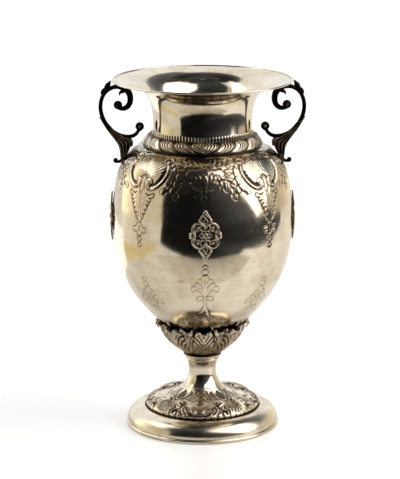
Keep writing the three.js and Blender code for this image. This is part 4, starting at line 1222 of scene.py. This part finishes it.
def board(name, material, middle, corners, distance=0.0, late=1.0):
    """A board seen only in reflections, as rings of points from its middle out to its corners. With a
    distance, the corners are compass turns and heights in degrees as seen from the middle of the vase,
    and without one they are x and y on the floor in metres. The last value of each is its brightness,
    which changes from the middle outwards as a power of the way."""
    corners = np.asarray([*corners, corners[0]], float)
    t = np.linspace(0, len(corners) - 1, 12 * (len(corners) - 1) + 1)[:-1]
    rim = np.stack([np.interp(t, np.arange(len(corners)), corners[:, k]) for k in range(3)], 1)[None]
    s = np.linspace(0.004, 1, 24)[:, None, None]
    middle = np.asarray(middle, float)
    place = middle[:2] + s * (rim[..., :2] - middle[:2])
    level = middle[2] + s**late * (rim[..., 2:] - middle[2])
    if distance:
        turn, rise = np.radians(place[..., 0]), np.radians(place[..., 1])
        out = np.stack([np.sin(turn) * np.cos(rise), -np.cos(turn) * np.cos(rise), np.sin(rise)], -1)
        points = (0, 0, EYE_RISE) + distance * out
    else:
        points = np.concatenate([place, np.full_like(level, 0.0006)], -1)
    faces = quads(len(s), len(t), False).tolist()
    made = new_object(name, points.reshape(-1, 3), faces, material)
    store(made.data, "level", level)
    for sight in ("camera", "diffuse", "shadow", "transmission"):
        setattr(made, f"visible_{sight}", False)


def background(stage):
    """White world for what is seen and for mirror images, and soft light for the rest."""
    world = bpy.data.worlds.new("studio")
    bpy.context.scene.world = world
    sky = Paint(world)
    path = sky.node("ShaderNodeLightPath", {})
    seen = path.outputs["Is Camera Ray"]
    for name in ("Is Glossy Ray", "Is Transmission Ray"):
        seen = sky.maths("ADD", seen, path.outputs[name], use_clamp=True)
    soft = sky.node("ShaderNodeBackground", {"Color": rgb(stage.sky_colour), "Strength": stage.sky_strength})
    white = sky.node("ShaderNodeBackground", {"Color": (1, 1, 1, 1), "Strength": 1.0})
    mix = sky.node("ShaderNodeMixShader", {0: seen, 1: soft.outputs[0], 2: white.outputs[0]})
    sky.node("ShaderNodeOutputWorld", {"Surface": mix.outputs[0]})


def floor_material(stage):
    """A pale table top that keeps the shadow and is lifted to white where the camera sees it."""
    paint = new_paint("table_top")
    split = paint.node("ShaderNodeSeparateXYZ", {"Vector": paint.place()})
    x, y = Value(paint, split.outputs["X"]), Value(paint, split.outputs["Y"])
    seen = paint.node("ShaderNodeLightPath", {}).outputs["Is Camera Ray"]
    cloth = paint.node("ShaderNodeBsdfPrincipled", {"Base Color": rgb(stage.floor_colour), "Roughness": 0.28,
                                                    "Specular IOR Level": 0.35})
    # Painted shade on the table: the camera's lift weakens towards the front, reaching further back on the
    # right.
    level = 1 - stage.floor_shade_fall * (1 - paint.ramp(y - 0.6 * x, -0.22, -0.06))
    lift = paint.node("ShaderNodeEmission", {"Color": rgb(stage.floor_lift),
                                             "Strength": level * Value(paint, seen)})
    both = paint.node("ShaderNodeAddShader", {0: cloth.outputs[0], 1: lift.outputs[0]})
    paint.node("ShaderNodeOutputMaterial", {"Surface": both.outputs[0]})
    return paint.owner


def make_boards(stage):
    """The room as the metal shows it: dark in front, warm boards at the sides, two lamp boxes."""
    room = glow("dark_room", stage.room_colour, 1.0)
    wall = glow("warm_wall", stage.wall_colour, 1.0)
    strip = glow("yellow_strip", stage.strip_colour, 1.0)
    cloth = glow("table_front", stage.cloth_colour, 1.0)
    lamp = glow("lamp_box", stage.box_colour, stage.box_strength)
    board("room_floor", room, (0, -0.9, 0.6),
          [(-0.52, -0.37, 0.4), (-0.25, -0.39, 0.4), (0, -0.39, 0.4), (0.2, -0.375, 2), (0.31, -0.325, 5),
           (0.42, -0.33, 6), (0.62, -0.27, 7), (0.88, 0.36, 9), (2.6, 1.2, 9), (2.6, -2.6, 6), (0, -2.6, 1),
           (-2.6, -2.05, 0.5)])
    board("table_shade", cloth, (0, -0.20, 1.0),
          [(-0.40, -0.20, 1), (-0.30, -0.30, 0.9), (-0.20, -0.388, 0.62), (0, -0.388, 0.5),
           (0.19, -0.375, 0.5), (0.30, -0.322, 0.7), (0.36, -0.20, 1), (0, -0.17, 1)])
    board("room_front", room, (-12, 14, 0.6),
          [(-53, -24, 0.6), (-20, -24, 0.6), (10, -24, 1.5), (40, -24, 4), (62, -24, 8), (62, 0, 12),
           (50, 16, 14), (36, 34, 10), (16, 50, 7), (16, 74, 7), (-20, 74, 6), (-74, 74, 7), (-74, 46, 6),
           (-60, 30, 3), (-53, 15, 1)], 1.6, 1.5)
    board("room_side", room, (90, -10, 9),
          [(60, -24, 7), (116, -24, 9), (116, -2, 12), (84, -4, 8), (60, 0, 8)], 1.55)
    board("room_back", room, (120, 30, 14),
          [(98, 18, 36), (138, 17, 50), (172, 45, 18), (172, 72, 3), (90, 72, 3), (112, 50, 12)], 1.5)
    board("ceiling_right", room, (60, 80, 3), [(0, 68, 6), (180, 68, 9), (180, 89, 5), (0, 89, 3)], 1.55)
    board("ceiling_left", room, (-60, 80, 3), [(0, 68, 6), (-180, 68, 9), (-180, 89, 5), (0, 89, 3)], 1.55)
    board("room_behind", room, (-140, 67, 2),
          [(-118, 55, 8), (-150, 54, 14), (-181, 54, 14), (-181, 74, 2), (-70, 74, 2), (-84, 64, 2),
           (-112, 65, 2)], 1.5, 2.0)
    board("room_behind_right", room, (150, 67, 2),
          [(181, 54, 14), (181, 74, 2), (118, 74, 2), (130, 58, 12)], 1.45, 2.0)
    board("wall_left", wall, (-88, 10, 1.0),
          [(-53, -24, 0.95), (-53, 15, 1.0), (-60, 30, 0.85), (-76, 46, 0.7), (-100, 52, 1.4),
           (-122, 46, 2.0), (-126, 10, 3.0), (-122, -24, 2.4)], 1.3)
    board("wall_right", wall, (120, 0, 1.15),
          [(86, -4, 0.9), (96, -9, 0.9), (116, -14, 1.3), (156, -16, 1.7), (156, 8, 1.6), (134, 18, 1.1),
           (100, 18, 0.8), (90, 8, 1.0)], 1.4)
    board("lamp_right", lamp, (66, 40, 1),
          [(69, -5, 1), (60, 2, 1), (49, 12, 0.5), (41, 22, 0.5), (30, 33, 0.45), (14, 43, 0.4),
           (13, 57, 0.7), (28, 66, 0.7), (60, 71, 0.7), (96, 66, 0.6), (118, 54, 0.4), (108, 40, 0.6),
           (99, 28, 0.8), (90, 14, 1), (81, -3, 1)], 1.25, 7.0)
    board("lamp_left", lamp, (-98, 45, 1),
          [(-118, 30, 0.8), (-118, 56, 0.6), (-106, 63, 0.5), (-90, 58, 0.6), (-82, 45, 0.7),
           (-76, 30, 0.8)], 1.0, 4.0)
    board("strip_left", strip, (-0.44, 0.0, 1),
          [(-0.53, 0.28, 1), (-0.34, 0.18, 1), (-0.384, 0, 1), (-0.444, -0.256, 0.9), (-0.585, -0.338, 0.9)])
    board("bright_floor", lamp, (-0.34, 0.44, 0.7),
          [(-0.3, 0.17, 0.55), (-0.70, 0.38, 0.6), (-0.5, 0.8, 0.6), (-0.2, 0.82, 0.5), (-0.09, 0.36, 0.5)])


def make_stage(stage):
    """Floor, reflection boards, lamp, world and camera."""
    sides = 96
    turn = TAU * np.arange(sides) / sides
    ring = np.stack([FLOOR_R * np.cos(turn), FLOOR_R * np.sin(turn), 0 * turn], 1)
    fan = [(0, 1 + k, 1 + (k + 1) % sides) for k in range(sides)]
    new_object("floor", np.vstack([np.zeros((1, 3)), ring]), fan, floor_material(stage))
    make_boards(stage)
    light = bpy.data.lights.new("soft_lamp", "AREA")
    light.energy, light.size, light.color = stage.lamp_power, LAMP_SIZE, (1, 0.98, 0.96)
    lamp = bpy.data.objects.new("soft_lamp", light)
    bpy.context.scene.collection.objects.link(lamp)
    lamp.location = LAMP_PLACE
    lamp.rotation_euler = (Vector(LAMP_AIM) - lamp.location).to_track_quat("-Z", "Y").to_euler()
    lamp.visible_glossy = False
    background(stage)

    data = bpy.data.cameras.new("camera")
    data.lens, data.sensor_width, data.sensor_fit = stage.lens, 36.0, "AUTO"
    data.clip_start, data.clip_end = 0.01, 50
    camera = bpy.data.objects.new("camera", data)
    bpy.context.scene.collection.objects.link(camera)
    place = Matrix.Rotation(-stage.turn, 4, "Z") @ Vector((stage.shift, -stage.distance, stage.height))
    camera.location = place
    camera.rotation_euler = (math.pi / 2 - stage.pitch, 0, -stage.turn)
    bpy.context.scene.camera = camera
    bpy.context.scene.view_settings.view_transform = "Standard"


# Settings, operators and panel


def length(name, text, value, low=0.0):
    """A length setting in metres."""
    return FloatProperty(name=name, description=text, default=value, min=low, subtype="DISTANCE",
                         unit="LENGTH", precision=5)


def angle_of(name, text, value):
    """An angle setting in radians."""
    return FloatProperty(name=name, description=text, default=value, subtype="ANGLE", unit="ROTATION")


def number_of(name, text, value, low=96):
    """A whole number."""
    return IntProperty(name=name, description=text, default=value, min=low)


def tint(name, text, value):
    """A colour setting."""
    return FloatVectorProperty(name=name, description=text, default=value, min=0, max=1, subtype="COLOR")


def share(name, text, value, high=4.0):
    """A plain factor."""
    return FloatProperty(name=name, description=text, default=value, min=0, max=high)


class VaseShapeSettings(PropertyGroup):
    """How fine and how deep the worked surfaces are."""

    bowl_columns: number_of("Bowl columns", "Columns round the chased bowl", 480)
    foot_columns: number_of("Foot columns", "Columns round the chased foot", 640)
    neck_columns: number_of("Neck columns", "Columns round the neck", 576)
    wreath_columns: number_of("Border columns", "Columns round the leaf border", 960)
    tongues: number_of("Tongues", "Tongues round the foot of the neck", 96, 8)
    wreath_leaves: number_of("Wreath leaves", "Leaves in the border", 20, 4)
    chase_depth: share("Chasing depth", "Depth of the chased work on the bowl and neck", 1.0)
    foot_depth: share("Foot depth", "Depth of the work on the foot", 1.0)
    foot_turn: angle_of("Foot turn", "How far the foot is screwed past the bowl", math.radians(-5.0))


class VaseFinishSettings(PropertyGroup):
    """Colours and polish of the metals."""

    silver_colour: tint("Silver", "Clean silver", (0.85, 0.775, 0.64))
    tarnish_colour: tint("Tarnish", "Thin warm tarnish", (0.60, 0.50, 0.36))
    # The stain colour also paints shade: on the side mounts, in shallow hollows and in the bands over the
    # calyx.
    stain_and_shade_colour: tint("Stain", "Brown stain beside the mounts", (0.22, 0.155, 0.095))
    # The oxide colour also paints the deepest shade, such as the gaps of the calyx and the foot of the mound.
    oxide_and_shade_colour: tint("Oxide", "Dark oxide in the hollows", (0.045, 0.035, 0.026))
    black_colour: tint("Black", "Oxide of the handles", (0.013, 0.0095, 0.007))
    rubbed_colour: tint("Rubbed", "Oxidised silver where it is rubbed", (0.42, 0.335, 0.235))
    brass_colour: tint("Brass", "Dull brass", (0.62, 0.46, 0.22))
    rim_colour: tint("Handle rim", "Tint of the handles where they are seen edge on", (0.24, 0.19, 0.15))
    smear_colour: tint("Brass smear", "Darker smears on the brass", (0.24, 0.17, 0.08))
    # This amount also scales the painted shade of the bands and of the side mounts.
    patina_and_shade: share("Patina", "How much of the tarnish and the spots shows", 1.0)
    polish: share("Roughness", "Roughness of the polished sheet", 0.10, 1.0)
    mount_polish: share("Mount roughness", "Roughness of the cast mounts", 0.16, 1.0)
    chased_polish: share("Chased roughness", "Roughness of the chased middle of the foot", 0.20, 1.0)
    foot_polish: share("Foot roughness", "Roughness of the foot moulding", 0.17, 1.0)
    grain_height: length("Grain", "Height of the fine turning lines", 0.000012)


class VaseStageSettings(PropertyGroup):
    """Camera, table and light."""

    distance: length("Camera distance", "Camera to the axis of the vase along the floor", 1.7281)
    height: length("Camera height", "Camera above the floor", 0.5748)
    shift: length("Camera shift", "Camera to the right of the axis", -0.0021, -1.0)
    pitch: angle_of("Camera pitch", "How far the camera looks down", 0.23477)
    turn: angle_of("Camera turn", "Camera turned round the vase", math.radians(1.75))
    lens: FloatProperty(name="Lens", description="Focal length", default=156.99, subtype="DISTANCE_CAMERA",
                        unit="CAMERA")
    floor_colour: tint("Table", "Table top", (0.80, 0.78, 0.73))
    floor_lift: tint("Table lift", "Light added to the table where the camera sees it", (0.27, 0.285, 0.31))
    # This loss of lift is painted shade on the table.
    floor_shade_fall: share("Table fall", "How much of the lift is lost at the front of the table", 0.35, 1.0)
    sky_colour: tint("Sky", "Colour of the soft light all round", (1.0, 0.99, 0.98))
    room_colour: tint("Room", "Dark room in front", (0.0105, 0.0112, 0.012))
    wall_colour: tint("Wall", "Warm boards at the sides", (0.68, 0.61, 0.46))
    strip_colour: tint("Strip", "Yellow strip at the left", (0.78, 0.66, 0.36))
    cloth_colour: tint("Table front", "Front of the table in reflections", (0.70, 0.645, 0.545))
    box_colour: tint("Lamp box colour", "Colour of the lamp boxes", (1.0, 0.99, 0.97))
    sky_strength: share("Sky strength", "Soft light all round", 0.85)
    box_strength: share("Lamp box", "Brightness of the lamp boxes in reflections", 2.2, 10.0)
    lamp_power: FloatProperty(name="Lamp", description="Power of the soft lamp", default=16.0, min=0,
                              unit="POWER")


# Bands darkened with the stain colour: the heights in metres where one starts and where it is full, and how
# strong it is. On the bowl the two low ones are painted shadow where the calyx leaves meet it, and the high
# one darkens the shoulder up to the border; on the stem the band darkens its upper part under the collar.
BOWL_DARK_BANDS = ((0.224, 0.243, 0.75), (0.1110, 0.1050, 0.30), (0.1020, 0.0975, 1.2))
STEM_DARK_BANDS = ((0.0495, 0.0515, 0.55),)


def all_over(most):
    """One band of the stain colour, full from just above the table."""
    return ((0.0, 0.001, most),)


def finishes():
    """The metals, made once and then found by name."""
    look = bpy.context.scene.vase_finish
    cast = (look.mount_polish, 1.0, 1.0, False)
    kinds = {
        "polished_silver": (silver, look.polish, 0.85),
        "bowl_silver": (silver, look.polish, 0.95, 0.0, True, BOWL_DARK_BANDS),
        "stem_silver": (silver, look.polish, 0.85, 0.0, True, STEM_DARK_BANDS),
        "foot_silver": (silver, look.foot_polish, 0.85),
        "chased_silver": (silver, look.chased_polish, 1.0, 2.0, False, all_over(0.06)),
        "cast_silver": (silver, *cast),
        # Cast silver browned all over with the stain colour.
        "bronzed_silver": (silver, *cast, all_over(0.42)),
        # A darker copy of the cast finish for the side mounts: painted shade.
        "dim_silver": (silver, *cast, all_over(1.1)),
        "blackened_silver": (dark_silver,),
        "dull_brass": (brass,),
    }
    return {name: bpy.data.materials.get(name) or make(name, look, *values)
            for name, (make, *values) in kinds.items()}


class VASE_OT_bowl(Operator):
    """Make the chased bowl"""

    bl_idname = "vase.bowl"
    bl_label = "Bowl"

    def execute(self, context):
        shape = context.scene.vase_shape
        make_bowl(finishes()["bowl_silver"], shape.bowl_columns, shape.chase_depth)
        return {"FINISHED"}


class VASE_OT_neck(Operator):
    """Make the neck, the wire of the mouth and the leaf border"""

    bl_idname = "vase.neck"
    bl_label = "Neck and border"

    def execute(self, context):
        shape, metal = context.scene.vase_shape, finishes()
        make_neck(metal["polished_silver"], shape.neck_columns, shape.tongues, shape.chase_depth)
        make_lip(metal["polished_silver"])
        make_wreath(metal["cast_silver"], shape.wreath_columns, shape.wreath_leaves)
        return {"FINISHED"}


class VASE_OT_handles(Operator):
    """Make both cast handles"""

    bl_idname = "vase.handles"
    bl_label = "Handles"

    def execute(self, context):
        make_handles(finishes()["blackened_silver"])
        return {"FINISHED"}


class VASE_OT_mounts(Operator):
    """Make the four pierced mounts"""

    bl_idname = "vase.mounts"
    bl_label = "Pierced mounts"

    def execute(self, context):
        metal = finishes()
        make_appliques(metal["cast_silver"], metal["dim_silver"])
        return {"FINISHED"}


class VASE_OT_calyx(Operator):
    """Make the leaves under the bowl, and the stem"""

    bl_idname = "vase.calyx"
    bl_label = "Calyx and stem"

    def execute(self, context):
        metal = finishes()
        make_calyx(metal["bronzed_silver"])
        make_stem(metal["cast_silver"], metal["stem_silver"])
        return {"FINISHED"}


class VASE_OT_foot(Operator):
    """Make the foot"""

    bl_idname = "vase.foot"
    bl_label = "Foot"

    def execute(self, context):
        shape, metal = context.scene.vase_shape, finishes()
        make_mound(metal["chased_silver"], shape.foot_columns, shape.foot_turn, shape.foot_depth)
        make_foot(metal["foot_silver"])
        return {"FINISHED"}


class VASE_OT_hardware(Operator):
    """Give the stud, washer and nut their brass"""

    bl_idname = "vase.hardware"
    bl_label = "Stud and nut"

    def execute(self, context):
        metal = finishes()["dull_brass"]
        for node in ("tie_stud", "stud_washer", "stud_nut"):
            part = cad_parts[node]
            for place in part.material_slots:
                place.material = metal
        return {"FINISHED"}


class VASE_OT_stage(Operator):
    """Set up the table, the light and the camera"""

    bl_idname = "vase.stage"
    bl_label = "Stage"

    def execute(self, context):
        make_stage(context.scene.vase_stage)
        return {"FINISHED"}


STEPS = ("bowl", "neck", "handles", "mounts", "calyx", "foot", "hardware", "stage")


class VASE_PT_panel(Panel):
    """The steps of the vase and their settings"""

    bl_idname = "VASE_PT_panel"
    bl_label = "Vase"
    bl_space_type = "VIEW_3D"
    bl_region_type = "UI"
    bl_category = "Vase"

    def draw(self, context):
        for step in STEPS:
            self.layout.operator(f"vase.{step}")
        for group in (context.scene.vase_shape, context.scene.vase_finish, context.scene.vase_stage):
            for key in group.__annotations__:
                self.layout.prop(group, key)


CLASSES = (
    VaseShapeSettings, VaseFinishSettings, VaseStageSettings, VASE_OT_bowl, VASE_OT_neck, VASE_OT_handles,
    VASE_OT_mounts, VASE_OT_calyx, VASE_OT_foot, VASE_OT_hardware, VASE_OT_stage, VASE_PT_panel,
)


def register():
    """Adds the classes and their settings."""
    for each in CLASSES:
        bpy.utils.register_class(each)
    bpy.types.Scene.vase_shape = PointerProperty(type=VaseShapeSettings)
    bpy.types.Scene.vase_finish = PointerProperty(type=VaseFinishSettings)
    bpy.types.Scene.vase_stage = PointerProperty(type=VaseStageSettings)


def unregister():
    """Removes the settings and the classes."""
    for key in ("vase_stage", "vase_finish", "vase_shape"):
        delattr(bpy.types.Scene, key)
    for each in reversed(CLASSES):
        bpy.utils.unregister_class(each)


def main():
    """Makes every piece in order."""
    register()
    for step in STEPS:
        getattr(bpy.ops.vase, step)()


if __name__ == "__main__":
    main()
